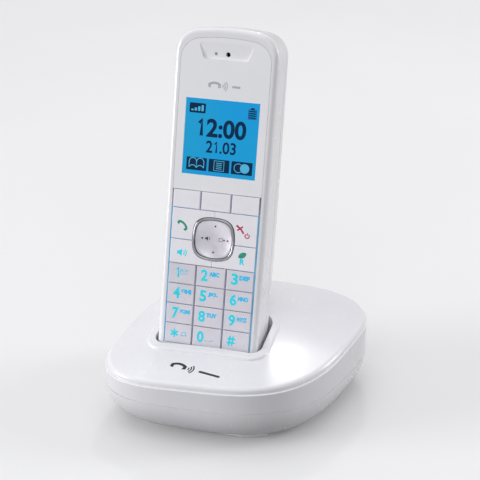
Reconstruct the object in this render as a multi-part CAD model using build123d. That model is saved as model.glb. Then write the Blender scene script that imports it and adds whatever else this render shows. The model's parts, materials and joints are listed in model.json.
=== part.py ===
from build123d import *
import math
import os

# Cordless telephone: a handset that stands, leaning back, in the pocket of a wide charging base.
# Millimetres, +Z up. The origin is on the standing surface, under the middle of the base.
# Base pieces are drawn where they stand. Handset pieces are drawn in the handset's own frame
# (x across, y from the front face towards the back, z along its length, z = 0 at the line above
# the first row of digits) and are then leaned back and lifted into place by handset_place.

# ---- Base: outline and heights ----
base_half_width = 50.33
base_half_depth = 45.08
base_squareness = 3.0
base_skew_x = 0.244
base_skew_y = 0.036
outline_points = 24
outline_search_steps = 20
seam_height = 18.5
bowl_bottom = 1.5
bowl_drop = 18.0
bowl_inset = 17.0
bowl_steps = 7
top_radius = 420.0
top_slope = 0.10
top_centre_height = 36.9
top_edge_round = 2.0
ledge_width = 0.8
ledge_drop = 2.3
ledge_round = 0.3
base_wall = 2.2
seam_groove_width = 0.4
seam_groove_depth = 0.35

# ---- Base: foot, feet and screws ----
plinth_width = 55.5
plinth_depth = 60.0
plinth_centre_x = -6.2
plinth_front = -32.6
plinth_lift = 0.4
plinth_corner = 3.0
plinth_inset = 10.5
foot_radius = 4.0
foot_height = 1.4
foot_edge_round = 0.2
foot_inset = 8.0
foot_clearance = 0.1
base_screw_places = [(30.0, -14.0), (25.0, 25.0), (-16.0, 26.0)]
screw_shank_radius = 1.25
screw_head_radius = 2.5
screw_head_height = 1.8
screw_length = 15.0
screw_clearance = 0.2
screw_sink = 1.4
boss_radius = 3.6
pilot_depth = 9.0
boss_foot = 9.0

# ---- Handset: place, outer form and shells ----
handset_lean = 15.0
handset_origin = (-9.52, -9.08, 69.22)
handset_width = 45.6
handset_depth = 27.0
handset_top = 102.8
handset_crown = 2.6
handset_top_corner = 10.5
handset_bottom_corner = 8.0
front_edge_round = 2.2
back_edge_round = 9.0
back_bow_radius = 1500.0
back_bow_centre = 15.0
parting_depth = 14.0
handset_wall = 2.0
parting_groove_width = 0.36
parting_groove_depth = 0.3
chin_length = 14.0

# ---- Handset: keypad ----
field_half_width = 19.9
row_pitch = 9.0
digit_rows = 4
function_row = 10.8
call_row = 13.8
soft_row = 8.1
column_edge = 6.8
column_gap = 0.8
row_gap = 0.36
middle_gap = 0.12
border_gap = 0.7
key_proud = 0.4
key_thickness = 1.3
key_edge_round = 0.22
key_stem_radius = 1.4
key_stem_clearance = 0.35
key_stem_reach = 3.4
well_depth = 1.7
well_floor = 1.4
strip_width = 0.4
strip_front = 0.25
mat_front = 4.1
mat_thickness = 0.8
mat_margin = 1.2
dome_radius = 1.2
nav_height = 12.3
nav_squareness = 0.84
nav_corner_share = 0.6
nav_ring_radius = 9.3
nav_ring_width = 0.75
nav_ring_proud = 0.7
nav_ring_round = 0.3
nav_clearance = 0.3
nav_key_radius = 8.2
nav_key_proud = 0.3
nav_key_thickness = 1.3
nav_dish_depth = 1.0
nav_post_radius = 2.4
nav_pivot_depth = 2.95
nav_pin_radius = 0.55
nav_pin_clearance = 0.15
nav_seat_reach = 4.2
nav_pin_reach = 2.8

# ---- Handset: fascia, display and ear piece ----
fascia_top_border = 4.2
fascia_corner = 9.0
fascia_gap = 0.1
screen_size = 32.5
screen_bottom = 39.8
screen_opening_margin = 1.1
glass_recess = 0.35
backlight_margin = 2.6
backlight_thickness = 2.3
scoop_top = 96.4
scoop_bottom = 89.2
scoop_top_half = 12.4
scoop_bottom_half = 9.8
scoop_depth = 0.95
scoop_corner = 1.6
ear_hole_radius = 1.0
ear_hole_x = 0.7
ear_hole_z = 91.6
call_light_radius = 0.6
call_light_x = -4.6
call_light_gap = 0.05
receiver_radius = 7.0
receiver_thickness = 2.4
receiver_x = 3.2
receiver_z = 88.6

# ---- Handset: inside ----
board_thickness = 1.2
board_front = 5.6
board_side_gap = 2.2
board_end_gap = 4.0
board_corner = 4.0
shield_size = (24.0, 22.0, 2.2)
shield_z = 66.0
shield_edge_round = 0.4
antenna_width = 26.0
antenna_rise = 5.0
antenna_z = 84.0
antenna_strip = 4.0
antenna_leg = 2.0
antenna_thickness = 0.5
cell_radius = 5.15
cell_edge_round = 0.5
contact_plate_half = 4.1
cell_length = 44.5
cell_nub_radius = 1.9
cell_nub_height = 0.8
cell_gap = 0.5
cell_centre_depth = 17.6
cell_bottom = -9.5
spring_length = 2.4
spring_radius = 3.0
spring_wire = 0.5
contact_thickness = 0.4
tray_side_gap = 0.7
tray_wall = 1.5
ledge_step = 2.2
cover_gap = 0.3
cover_depth = 2.0
thumb_groove_radius = 6.4
thumb_groove_depth = 0.8
thumb_groove_width = 12.0
thumb_groove_inset = 4.0
speaker_radius = 8.0
speaker_thickness = 3.2
speaker_seat = 1.7
speaker_height = 66.0
sound_slots = 5
sound_slot_pitch = 2.4
sound_slot_width = 1.0
sound_slot_length = 13.0
microphone_radius = 2.0
microphone_thickness = 1.5
microphone_z = -42.5
handset_screw_places = [(-14.5, 52.0), (14.5, 52.0)]
handset_screw_shank = 0.9
handset_screw_head = 1.9
handset_screw_head_height = 1.2
handset_screw_length = 10.0

# ---- Pocket and charging ----
pocket_side_gap = 1.7
pocket_front_gap = 1.5
pocket_rear_gap = 1.5
pocket_floor_gap = 1.6
rest_gap = 0.3
rest_spread = 6.0
rest_width = 3.0
rest_front = 4.0
rest_back = 20.0
pocket_front_corner = 5.0
pocket_rear_corner = 10.0
pocket_wall = 2.0
rim_width = 3.4
rim_raise = 1.1
rim_round = 0.9
rim_start = 6.0
terminal_spread = 13.0
terminal_width = 4.0
terminal_length = 7.0
terminal_thickness = 0.8
terminal_depth = 12.0
contact_radius = 1.3
contact_nose_round = 0.65
contact_proud_gap = 0.3
contact_slot_clearance = 0.3
contact_collar_radius = 2.2
contact_collar_height = 1.0
carrier_height = 6.0
carrier_wall = 1.4
carrier_depth = 10.0
carrier_side = 4.0
contact_tail_length = 1.2

# ---- Base: inside and rear ----
base_board_width = 54.0
base_board_depth = 22.0
base_board_height = 17.8
base_board_y = 27.0
base_board_x = 13.0
board_post_radius = 1.8
board_post_inset = 5.0
power_inlet_x = 28.0
line_socket_x = -2.0
button_x = 13.0
inlet_width = 9.0
inlet_height = 9.0
inlet_depth = 12.0
inlet_bore = 2.8
inlet_bore_depth = 9.0
inlet_pin_radius = 0.85
line_width = 11.0
line_height = 10.5
line_depth = 13.0
line_port_width = 8.0
line_port_height = 6.4
line_port_depth = 10.0
socket_clearance = 0.3
socket_recess = 0.6
button_radius = 3.6
button_gap = 0.3
button_travel = 0.5
button_proud = 0.9
button_height_above_board = 8.0
button_edge_round = 0.45
button_flange = 0.9
button_flange_thickness = 0.9
button_stem_radius = 1.2
button_stem_length = 1.5
switch_size = 6.0
switch_depth = 3.5
base_shield_size = (20.0, 12.0, 2.6)
base_shield_place = (8.0, 22.0)
base_antenna_place = (34.0, 19.2)
base_antenna_size = (9.0, 3.0, 12.0)
base_antenna_thickness = 0.6

overshoot = 1.0
reach = 200.0


def solid_of(shape):
    """The largest solid of a result, so that each piece is one closed body."""
    return shape.solids().sort_by(SortBy.VOLUME)[-1]


# ======================= Shared outlines =======================

def base_outline(inset):
    """The base seen from above, moved inwards by inset: |x/a|^n + |y/b|^n = 1, leaned by two skews."""
    places = []
    for i in range(outline_points):
        turn = 2 * math.pi * i / outline_points
        across = math.cos(turn)
        along = math.sin(turn)
        size = (abs(across) ** base_squareness + abs(along) ** base_squareness) ** (-1 / base_squareness)
        x = (base_half_width - inset) * size * across
        y = (base_half_depth - inset) * size * along
        places.append((x + base_skew_x * y, y + base_skew_y * x))
    return make_face(Spline(*places, periodic=True))


def squircle(radius):
    """The navigation key's rounded square: four bowed sides with round corners."""
    corner = radius * nav_squareness
    sides = []
    for i in range(4):
        side = ThreePointArc((corner, -corner), (radius, 0), (corner, corner))
        sides.append(Rot(0, 0, 90 * i) * side)
    face = make_face(sides)
    return fillet(face.vertices(), radius * nav_corner_share)


def crowned_top(drop):
    """Ball whose upper side is the base's domed top, lowered by drop."""
    back = top_slope * top_radius
    sag = top_radius - math.sqrt(top_radius ** 2 - back ** 2)
    centre = (0, back, top_centre_height + sag - top_radius)
    return Pos(*centre) * Sphere(top_radius - drop)


def slab(sketch, near, far):
    """Solid of a shape drawn in the handset's (x, z), between two depths behind its front face."""
    return extrude(Plane.XZ.offset(-near) * sketch, near - far)


def box_between(low, high):
    size = [high[i] - low[i] for i in range(3)]
    middle = [(high[i] + low[i]) / 2 for i in range(3)]
    return Pos(*middle) * Box(*size)


def rod(radius, near, far, x, z):
    """Round rod along the handset's depth."""
    return slab(Pos(x, z) * Circle(radius), near, far)


def upright(radius, low, high, x, y):
    """Round post along Z."""
    return Pos(x, y, low) * Cylinder(radius, high - low, align=(Align.CENTER, Align.CENTER, Align.MIN))


handset_place = Location(handset_origin, (-handset_lean, 0, 0))
handset_half = handset_width / 2
keypad_top = function_row + call_row + soft_row
keypad_bottom = -digit_rows * row_pitch
handset_bottom = keypad_bottom - chin_length
pieces = {}


# ======================= Handset: outer form =======================

def handset_outline(inset):
    """The handset from the front: straight sides, crowned top, round corners."""
    half = handset_half - inset
    top = handset_top - inset
    bottom = handset_bottom + inset
    shoulder = top - handset_crown
    edges = [
        Line((-half, bottom), (half, bottom)),
        Line((half, bottom), (half, shoulder)),
        ThreePointArc((half, shoulder), (0, top), (-half, shoulder)),
        Line((-half, shoulder), (-half, bottom)),
    ]
    face = make_face(edges)
    face = fillet(face.vertices().group_by(Axis.Y)[-1], handset_top_corner - inset)
    return fillet(face.vertices().group_by(Axis.Y)[0], handset_bottom_corner - inset)


def handset_form(inset, front):
    """The handset's closed outer form, moved inwards by inset, starting at depth front."""
    back = handset_depth - inset
    body = slab(handset_outline(inset), front, back)
    bow = Pos(0, back - back_bow_radius, back_bow_centre) * Rot(0, 90, 0)
    body = body & bow * Cylinder(back_bow_radius, reach)
    body = solid_of(body)
    return fillet(body.faces().sort_by(Axis.Y)[-1].edges(), back_edge_round - inset)


def parting_groove():
    """Thin ring cut all round where the two shells meet."""
    near = parting_depth - parting_groove_width / 2
    far = parting_depth + parting_groove_width / 2
    outer = slab(handset_outline(-overshoot), near, far)
    return outer - slab(handset_outline(parting_groove_depth), near, far)


def field_outline(top, bottom, inset):
    """The sunk field that holds the fascia and the keys."""
    half = field_half_width - inset
    return Pos(0, (top + bottom) / 2) * Rectangle(2 * half, top - bottom)


fascia_top = handset_top - fascia_top_border


def fascia_outline(inset):
    """The fascia panel: square below, crowned with round corners above."""
    half = field_half_width - inset
    top = fascia_top - inset
    bottom = keypad_top + inset
    shoulder = top - handset_crown * half / handset_half
    edges = [
        Line((-half, bottom), (half, bottom)),
        Line((half, bottom), (half, shoulder)),
        ThreePointArc((half, shoulder), (0, top), (-half, shoulder)),
        Line((-half, shoulder), (-half, bottom)),
    ]
    face = make_face(edges)
    return fillet(face.vertices().group_by(Axis.Y)[-1], fascia_corner - inset)


# ======================= Handset: keys =======================

key_back = key_thickness - key_proud
well_back = well_depth + well_floor
outer_key_edge = field_half_width - border_gap
columns = [
    (-outer_key_edge, -column_edge - column_gap / 2),
    (-column_edge + column_gap / 2, column_edge - column_gap / 2),
    (column_edge + column_gap / 2, outer_key_edge),
]
digit_names = [
    ["key_1", "key_2", "key_3"],
    ["key_4", "key_5", "key_6"],
    ["key_7", "key_8", "key_9"],
    ["key_star", "key_0", "key_hash"],
]


def key_outlines():
    """Name of each key, its outline in (x, z) and where its stem stands."""
    found = {}
    for row, names in enumerate(digit_names):
        top = -row * row_pitch - row_gap / 2
        bottom = top - row_pitch + row_gap
        for (left, right), name in zip(columns, names):
            middle = ((left + right) / 2, (top + bottom) / 2)
            found[name] = (Pos(*middle) * Rectangle(right - left, top - bottom), middle)
    soft_top = keypad_top - row_gap / 2
    soft_bottom = keypad_top - soft_row + row_gap / 2
    for (left, right), name in zip(columns, ["soft_key_left", "soft_key_middle", "soft_key_right"]):
        middle = ((left + right) / 2, (soft_top + soft_bottom) / 2)
        found[name] = (Pos(*middle) * Rectangle(right - left, soft_top - soft_bottom), middle)
    hole = Pos(0, nav_height) * squircle(nav_ring_radius + nav_clearance)
    rows = [
        ("talk_key", "off_key", function_row + call_row - row_gap / 2, function_row + row_gap / 2),
        ("speaker_key", "recall_key", function_row - row_gap / 2, row_gap / 2),
    ]
    for left_name, right_name, top, bottom in rows:
        width = outer_key_edge - middle_gap / 2
        centre = (outer_key_edge + middle_gap / 2) / 2
        for side, name in ((-1, left_name), (1, right_name)):
            blank = Pos(side * centre, (top + bottom) / 2) * Rectangle(width, top - bottom)
            stem = (side * (outer_key_edge + nav_ring_radius) / 2, (top + bottom) / 2)
            found[name] = (blank - hole, stem)
    return found


keys = key_outlines()


def make_key(outline, stem):
    """Flat key cap with softened front edges and a round stem that reaches the keypad mat."""
    cap = solid_of(slab(outline, -key_proud, key_back))
    cap = fillet(cap.faces().sort_by(Axis.Y)[0].edges(), key_edge_round)
    return cap + rod(key_stem_radius, key_back, key_stem_reach, *stem)


for name, (outline, stem) in keys.items():
    pieces[name] = handset_place * make_key(outline, stem)


# ---- Navigation key on its tilting post, in a fixed ring ----

def make_nav_ring():
    ring = Pos(0, nav_height) * (squircle(nav_ring_radius) - squircle(nav_ring_radius - nav_ring_width))
    band = solid_of(slab(ring, -nav_ring_proud, well_depth))
    return fillet(band.faces().sort_by(Axis.Y)[0].edges(), nav_ring_round)


def nav_cross(clearance):
    """Two crossed round pins: the long one lies in the front shell, the short one in the key's post."""
    centre = Pos(0, nav_pivot_depth, nav_height)
    seat_pin = Rot(0, 90, 0) * Cylinder(nav_pin_radius + clearance, 2 * (nav_seat_reach + clearance))
    key_pin = Cylinder(nav_pin_radius + clearance, 2 * (nav_pin_reach + clearance))
    return solid_of(centre * (seat_pin + key_pin))


def make_nav_key():
    """Dished cap whose post rides on the crossed pins, so that it rocks four ways."""
    cap_back = nav_key_thickness - nav_key_proud
    cap = solid_of(slab(Pos(0, nav_height) * squircle(nav_key_radius), -nav_key_proud, cap_back))
    ball_radius = (nav_key_radius ** 2 + nav_dish_depth ** 2) / (2 * nav_dish_depth)
    ball_centre = -nav_key_proud - ball_radius + nav_dish_depth
    cap = solid_of(cap - Pos(0, ball_centre, nav_height) * Sphere(ball_radius))
    post = rod(nav_post_radius, cap_back, nav_pivot_depth, 0, nav_height)
    return solid_of(cap + post - nav_cross(nav_pin_clearance))


pieces["nav_ring"] = handset_place * make_nav_ring()
pieces["nav_key"] = handset_place * make_nav_key()
pieces["nav_rocker"] = handset_place * nav_cross(0)


# ======================= Handset: shells =======================

screen_middle = screen_bottom + screen_size / 2
screen_opening = screen_size + 2 * screen_opening_margin
cell_middle = cell_bottom + cell_length / 2
cell_x = cell_radius + cell_gap / 2
tray_half = 2 * cell_radius + cell_gap / 2 + tray_side_gap
tray_low = cell_bottom - spring_length - contact_thickness - tray_side_gap
tray_high = cell_bottom + cell_length + cell_nub_height + contact_thickness + tray_side_gap
tray_front = cell_centre_depth - cell_radius - tray_side_gap
cover_seat = handset_depth - cover_depth - cover_gap


def charge_slots(clearance):
    """The two charging plates at the foot of the handset, with room round them."""
    plates = []
    for side in (-1, 1):
        low = (
            side * terminal_spread - terminal_width / 2 - clearance,
            terminal_depth - terminal_length / 2 - clearance,
            handset_bottom - clearance,
        )
        high = (
            side * terminal_spread + terminal_width / 2 + clearance,
            terminal_depth + terminal_length / 2 + clearance,
            handset_bottom + terminal_thickness + clearance,
        )
        plates.append(box_between(low, high))
    return plates


def make_front_case():
    """Front shell: rounded edge, sunk field for fascia and keys, screen opening, stem holes."""
    shell = slab(handset_outline(0), 0, parting_depth)
    shell = fillet(solid_of(shell).faces().sort_by(Axis.Y)[0].edges(), front_edge_round)
    shell = shell - slab(handset_outline(handset_wall), well_back, parting_depth + overshoot)
    shell = shell - slab(fascia_outline(0), -overshoot, well_depth)
    shell = shell - slab(field_outline(keypad_top, keypad_bottom, 0), -overshoot, well_depth)
    opening = Pos(0, screen_middle) * Rectangle(screen_opening, screen_opening)
    shell = shell - slab(opening, well_depth - overshoot, well_back + overshoot)
    for outline, stem in keys.values():
        hole_radius = key_stem_radius + key_stem_clearance
        shell = shell - rod(hole_radius, well_depth - overshoot, well_back + overshoot, *stem)
    post_hole = nav_post_radius + 2 * key_stem_clearance
    shell = shell - rod(post_hole, well_depth - overshoot, well_back + overshoot, 0, nav_height)
    shell = shell - nav_cross(nav_pin_clearance)
    shell = shell - rod(ear_hole_radius, 0, well_back + overshoot, ear_hole_x, ear_hole_z)
    light_hole = call_light_radius + call_light_gap
    shell = shell - rod(light_hole, 0, well_back + overshoot, call_light_x, ear_hole_z)
    shell = shell - rod(ear_hole_radius, 0, well_back + overshoot, 0, microphone_z)
    for x, z in handset_screw_places:
        post = rod(handset_screw_head, well_back - overshoot / 2, parting_depth, x, z)
        pilot = rod(handset_screw_shank, well_back + overshoot, parting_depth + overshoot, x, z)
        shell = shell + post - pilot
    for plate in charge_slots(fascia_gap):
        shell = shell - plate
    return solid_of(shell - parting_groove())


def make_rear_case():
    """Back shell with the battery tray, the seat for its cover and the ringer's sound slots."""
    shell = handset_form(0, parting_depth)
    shell = shell - handset_form(handset_wall, parting_depth - overshoot)
    rim = ledge_step + tray_wall
    shell = shell + box_between(
        (-tray_half - rim, tray_front - tray_wall, tray_low - rim),
        (tray_half + rim, handset_depth - handset_wall / 2, tray_high + rim),
    )
    shell = shell - box_between((-tray_half, tray_front, tray_low), (tray_half, reach, tray_high))
    shell = shell - box_between(
        (-tray_half - ledge_step, cover_seat, tray_low - ledge_step),
        (tray_half + ledge_step, reach, tray_high + ledge_step),
    )
    for i in range(sound_slots):
        z = speaker_height + (i - (sound_slots - 1) / 2) * sound_slot_pitch
        slot = Pos(0, z) * SlotOverall(sound_slot_length, sound_slot_width)
        shell = shell - slab(slot, handset_depth - 2 * handset_wall, handset_depth + overshoot)
    for x, z in handset_screw_places:
        post = rod(handset_screw_head + handset_wall / 2, parting_depth, handset_depth - handset_wall, x, z)
        shell = shell + post
        shell = shell - rod(handset_screw_shank + screw_clearance, parting_depth - overshoot, reach, x, z)
        head_seat = parting_depth + handset_screw_length / 2
        shell = shell - rod(handset_screw_head + screw_clearance, head_seat, reach, x, z)
    for plate in charge_slots(fascia_gap):
        shell = shell - plate
    return solid_of(shell - parting_groove())


def make_battery_cover():
    """Door over the cells: a piece of the rear skin with a gap all round and a thumb groove."""
    step = ledge_step - cover_gap
    frame = box_between(
        (-tray_half - step, handset_depth - cover_depth, tray_low - step),
        (tray_half + step, reach, tray_high + step),
    )
    door = solid_of(handset_form(0, parting_depth) & frame)
    groove = Rot(0, 90, 0) * Cylinder(thumb_groove_radius, thumb_groove_width)
    groove_depth = handset_depth + thumb_groove_radius - thumb_groove_depth
    return solid_of(door - Pos(0, groove_depth, tray_high - thumb_groove_inset) * groove)


pieces["handset_front_case"] = handset_place * make_front_case()
pieces["handset_rear_case"] = handset_place * make_rear_case()
pieces["battery_cover"] = handset_place * make_battery_cover()


# ======================= Handset: fascia and display =======================

def screen_slab(margin, near, far):
    side = screen_size + 2 * margin
    return slab(Pos(0, screen_middle) * Rectangle(side, side), near, far)


def scoop_tool():
    """Shallow dip round the ear hole, deepest at its lower edge."""
    outline = Polygon(
        (-scoop_bottom_half, scoop_bottom), (scoop_bottom_half, scoop_bottom),
        (scoop_top_half, scoop_top), (-scoop_top_half, scoop_top), align=None)
    outline = fillet(outline.vertices(), scoop_corner)
    plug = slab(outline, -overshoot, well_depth)
    rise = math.degrees(math.atan2(scoop_depth, scoop_top - scoop_bottom))
    ramp = Pos(0, scoop_depth, scoop_bottom) * Rot(rise, 0, 0)
    keep = ramp * box_between((-reach, -reach, -reach), (reach, 0, reach))
    return plug & keep


def make_fascia():
    """Clear acrylic panel, flush with the case, with the ear dip and its holes."""
    panel = slab(fascia_outline(fascia_gap), 0, well_depth)
    panel = solid_of(panel - scoop_tool())
    panel = panel - screen_slab(fascia_gap, -overshoot, well_depth + overshoot)
    panel = panel - rod(ear_hole_radius, -overshoot, well_depth + overshoot, ear_hole_x, ear_hole_z)
    light_hole = call_light_radius + call_light_gap
    return solid_of(panel - rod(light_hole, -overshoot, well_depth + overshoot, call_light_x, ear_hole_z))


pieces["fascia_panel"] = handset_place * make_fascia()
pieces["display_glass"] = handset_place * screen_slab(0, glass_recess, well_back)
pieces["display_backlight"] = handset_place * screen_slab(
    backlight_margin, well_back, well_back + backlight_thickness)
call_light_front = scoop_depth * (scoop_top - ear_hole_z) / (scoop_top - scoop_bottom)
pieces["call_light_guide"] = handset_place * rod(
    call_light_radius, call_light_front, board_front, call_light_x, ear_hole_z)


# ======================= Handset: keypad inside =======================

def make_light_strips():
    """Two light guides that glow along the keypad's left and right borders."""
    strips = []
    for side in (-1, 1):
        x = side * (field_half_width - strip_width / 2 - fascia_gap / 2)
        top = function_row + call_row
        length = top - keypad_bottom - 2 * fascia_gap
        bar = Pos(x, (top + keypad_bottom) / 2) * Rectangle(strip_width, length)
        strips.append(slab(bar, strip_front, well_depth))
    return Compound(children=[solid_of(s) for s in strips])


def make_keypad_mat():
    """Silicone sheet behind the keys, with a dome under each key that rests on the board."""
    width = 2 * (handset_half - handset_wall - mat_margin)
    top = keypad_top - mat_margin
    bottom = keypad_bottom - mat_margin
    outline = Pos(0, (top + bottom) / 2) * Rectangle(width, top - bottom)
    sheet = slab(outline, mat_front, mat_front + mat_thickness)
    for outline, stem in keys.values():
        sheet = sheet + rod(dome_radius, mat_front + mat_thickness, board_front, *stem)
    for side in (-1, 1):
        z = nav_height + side * nav_post_radius
        sheet = sheet + rod(dome_radius, mat_front + mat_thickness, board_front, 0, z)
    pad_front = nav_pivot_depth + nav_pin_radius + nav_pin_clearance
    return solid_of(sheet + rod(nav_pin_radius, pad_front, mat_front, 0, nav_height))


pieces["keypad_light_strips"] = handset_place * make_light_strips()
pieces["keypad_mat"] = handset_place * make_keypad_mat()


# ======================= Handset: electronics =======================

board_back = board_front + board_thickness
board_half = handset_half - board_side_gap - handset_wall / 2


def make_handset_board():
    top = handset_top - board_end_gap - handset_crown - handset_wall
    bottom = handset_bottom + board_end_gap
    plate = RectangleRounded(2 * board_half, top - bottom, board_corner)
    board = slab(Pos(0, (top + bottom) / 2) * plate, board_front, board_back)
    for x, z in handset_screw_places:
        board = board - rod(handset_screw_head + screw_clearance, 0, reach, x, z)
    return solid_of(board)


def make_handset_shield():
    """Tinned steel can over the radio circuit, on the back of the board."""
    width, height, depth = shield_size
    can = solid_of(slab(Pos(0, shield_z) * Rectangle(width, height), board_back, board_back + depth))
    return fillet(can.faces().sort_by(Axis.Y)[-1].edges(), shield_edge_round)


def make_handset_antenna():
    """Folded strip aerial standing on the board behind the ear piece."""
    left = -antenna_width / 2
    back = board_back + antenna_rise
    foot = antenna_z + antenna_thickness
    strip = box_between((left, board_back, antenna_z), (left + antenna_leg, back, foot))
    bar = box_between((left, back - antenna_thickness, antenna_z), (-left, back, antenna_z + antenna_strip))
    return solid_of(strip + bar)


pieces["handset_circuit_board"] = handset_place * make_handset_board()
pieces["handset_radio_shield"] = handset_place * make_handset_shield()
pieces["handset_antenna"] = handset_place * make_handset_antenna()
pieces["ear_receiver"] = handset_place * rod(
    receiver_radius, well_back, well_back + receiver_thickness, receiver_x, receiver_z)
speaker_back = handset_depth - handset_wall - speaker_seat
pieces["ringer_speaker"] = handset_place * rod(
    speaker_radius, speaker_back - speaker_thickness, speaker_back, 0, speaker_height)
pieces["microphone"] = handset_place * rod(
    microphone_radius, well_back, well_back + microphone_thickness, 0, microphone_z)
pieces["charge_terminals"] = handset_place * Compound(children=charge_slots(0))


# ======================= Handset: battery =======================

def make_cell(x):
    """Rechargeable AAA cell standing in the tray, its button end up."""
    body = Pos(x, cell_centre_depth, cell_middle) * Cylinder(cell_radius, cell_length)
    body = fillet(body.edges().filter_by(GeomType.CIRCLE), cell_edge_round)
    nub = Pos(x, cell_centre_depth, cell_bottom + cell_length + cell_nub_height / 2) * Cylinder(
        cell_nub_radius, cell_nub_height)
    return solid_of(body + nub)


def make_battery_springs():
    """Coil springs under the cells, drawn as open sleeves of the coil's size."""
    coils = []
    for side in (-1, 1):
        centre = Pos(side * cell_x, cell_centre_depth, cell_bottom - spring_length / 2)
        sleeve = Cylinder(spring_radius, spring_length)
        sleeve = sleeve - Cylinder(spring_radius - spring_wire, spring_length)
        coils.append(solid_of(centre * sleeve))
    return Compound(children=coils)


def make_battery_contacts():
    """Nickelled plates at the two ends of the tray."""
    plates = []
    half = contact_plate_half
    lows = (cell_bottom - spring_length - contact_thickness, cell_bottom + cell_length + cell_nub_height)
    for side in (-1, 1):
        for low in lows:
            plates.append(box_between(
                (side * cell_x - half, cell_centre_depth - half, low),
                (side * cell_x + half, cell_centre_depth + half, low + contact_thickness),
            ))
    return Compound(children=plates)


pieces["battery_cell_left"] = handset_place * make_cell(-cell_x)
pieces["battery_cell_right"] = handset_place * make_cell(cell_x)
pieces["battery_springs"] = handset_place * make_battery_springs()
pieces["battery_contacts"] = handset_place * make_battery_contacts()


def make_handset_screws():
    """Two self-tapping screws from the back into the front shell's posts."""
    screws = []
    for x, z in handset_screw_places:
        head_back = parting_depth + handset_screw_length / 2
        shank = rod(handset_screw_shank - fascia_gap / 2, head_back - handset_screw_length, head_back, x, z)
        head = rod(handset_screw_head, head_back, head_back + handset_screw_head_height, x, z)
        screws.append(solid_of(shank + head))
    return Compound(children=screws)


pieces["handset_screws"] = handset_place * make_handset_screws()


# ======================= Base: shells =======================

def pocket_column(grow, low):
    """Straight column with the pocket's section, grown by grow, standing from height low."""
    width = handset_width + 2 * pocket_side_gap + 2 * grow
    front = -pocket_front_gap - grow
    back = handset_depth + pocket_rear_gap + grow
    section = Pos(0, (front + back) / 2) * Rectangle(width, back - front)
    section = fillet(section.vertices().group_by(Axis.Y)[0], pocket_front_corner + grow)
    section = fillet(section.vertices().group_by(Axis.Y)[-1], pocket_rear_corner + grow)
    return handset_place * (Pos(0, 0, low) * extrude(section, reach))


pocket_floor = handset_bottom - pocket_floor_gap


def upper_block(inset, low):
    """Solid of the upper case from height low to the domed top, moved inwards by inset."""
    wall = extrude(Pos(0, 0, low) * base_outline(inset), reach)
    return solid_of(wall & crowned_top(inset))


def base_seam_groove():
    """Thin ring cut all round where the two halves of the base meet."""
    ring = base_outline(-overshoot) - base_outline(seam_groove_depth)
    return extrude(Pos(0, 0, seam_height - seam_groove_width / 2) * ring, seam_groove_width)


board_top = base_board_height + board_thickness
button_z = board_top + button_height_above_board
skirt_wall = base_wall + ledge_width


def rear_wall_at(x):
    """Where the outside of the rear wall stands at this x, found by closing in on the outline."""
    y = base_half_depth
    for _ in range(outline_search_steps):
        across = abs(x - base_skew_x * y) / base_half_width
        y = base_half_depth * (1 - across ** base_squareness) ** (1 / base_squareness)
    return y + base_skew_y * (x - base_skew_x * y)


def rear_hole(x, z, width, height):
    """Rectangular tool that passes through the rear wall only."""
    wall = rear_wall_at(x)
    return box_between(
        (x - width / 2, wall - inlet_depth, z - height / 2),
        (x + width / 2, wall + inlet_depth, z + height / 2),
    )


def make_base_upper_case():
    """Domed shell with its shoulder step, the raised rim and the pocket that holds the handset."""
    skirt = solid_of(extrude(Pos(0, 0, seam_height) * base_outline(0), reach) & crowned_top(ledge_drop))
    skirt = fillet(skirt.faces().sort_by(Axis.Z)[-1].edges(), ledge_round)
    dome = solid_of(extrude(Pos(0, 0, seam_height) * base_outline(ledge_width), reach) & crowned_top(0))
    dome = fillet(dome.faces().sort_by(Axis.Z)[-1].edges(), top_edge_round)
    rim = solid_of(pocket_column(rim_width, pocket_floor + rim_start) & crowned_top(-rim_raise))
    rim = fillet(rim.faces().sort_by(Axis.Z)[-1].edges(), rim_round)
    hollow = upper_block(base_wall + ledge_width, seam_height - overshoot)
    well = solid_of(pocket_column(pocket_wall, pocket_floor - pocket_wall) & crowned_top(ledge_drop))
    shell = (skirt + dome + rim) - hollow
    for x, y in base_screw_places:
        shell = shell + solid_of(upright(boss_radius, boss_foot, reach, x, y) & crowned_top(base_wall / 2))
        shell = shell - upright(screw_shank_radius, boss_foot - overshoot, boss_foot + pilot_depth, x, y)
    shell = shell + well
    shell = solid_of(shell - pocket_column(0, pocket_floor))
    for side in (-1, 1):
        rest = box_between(
            (side * rest_spread - rest_width / 2, rest_front, pocket_floor - pocket_wall / 2),
            (side * rest_spread + rest_width / 2, rest_back, handset_bottom - rest_gap),
        )
        shell = shell + handset_place * rest
        slot = Pos(side * terminal_spread, terminal_depth, pocket_floor - carrier_height) * Cylinder(
            contact_radius + contact_slot_clearance, carrier_height * 2)
        shell = shell - handset_place * slot
    shell = shell - rear_hole(
        power_inlet_x, board_top + inlet_height / 2,
        inlet_width + 2 * socket_clearance, inlet_height + 2 * socket_clearance)
    shell = shell - rear_hole(
        line_socket_x, board_top + line_height / 2,
        line_width + 2 * socket_clearance, line_height + 2 * socket_clearance)
    shell = shell - rod(button_radius + button_gap, base_half_depth - inlet_depth, reach, button_x, button_z)
    return solid_of(shell - base_seam_groove())


def bowl(inset, lift):
    """Lower half of the base: its outline drawn in along a quarter ellipse, down to the plinth."""
    last = math.asin((seam_height - bowl_bottom) / bowl_drop)
    sections = []
    for i in range(bowl_steps):
        turn = last * i / (bowl_steps - 1)
        height = seam_height - bowl_drop * math.sin(turn) + lift * i / (bowl_steps - 1)
        draw = bowl_inset * (1 - math.cos(turn)) + inset
        sections.append(Pos(0, 0, height) * base_outline(draw))
    return loft(sections)


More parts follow.
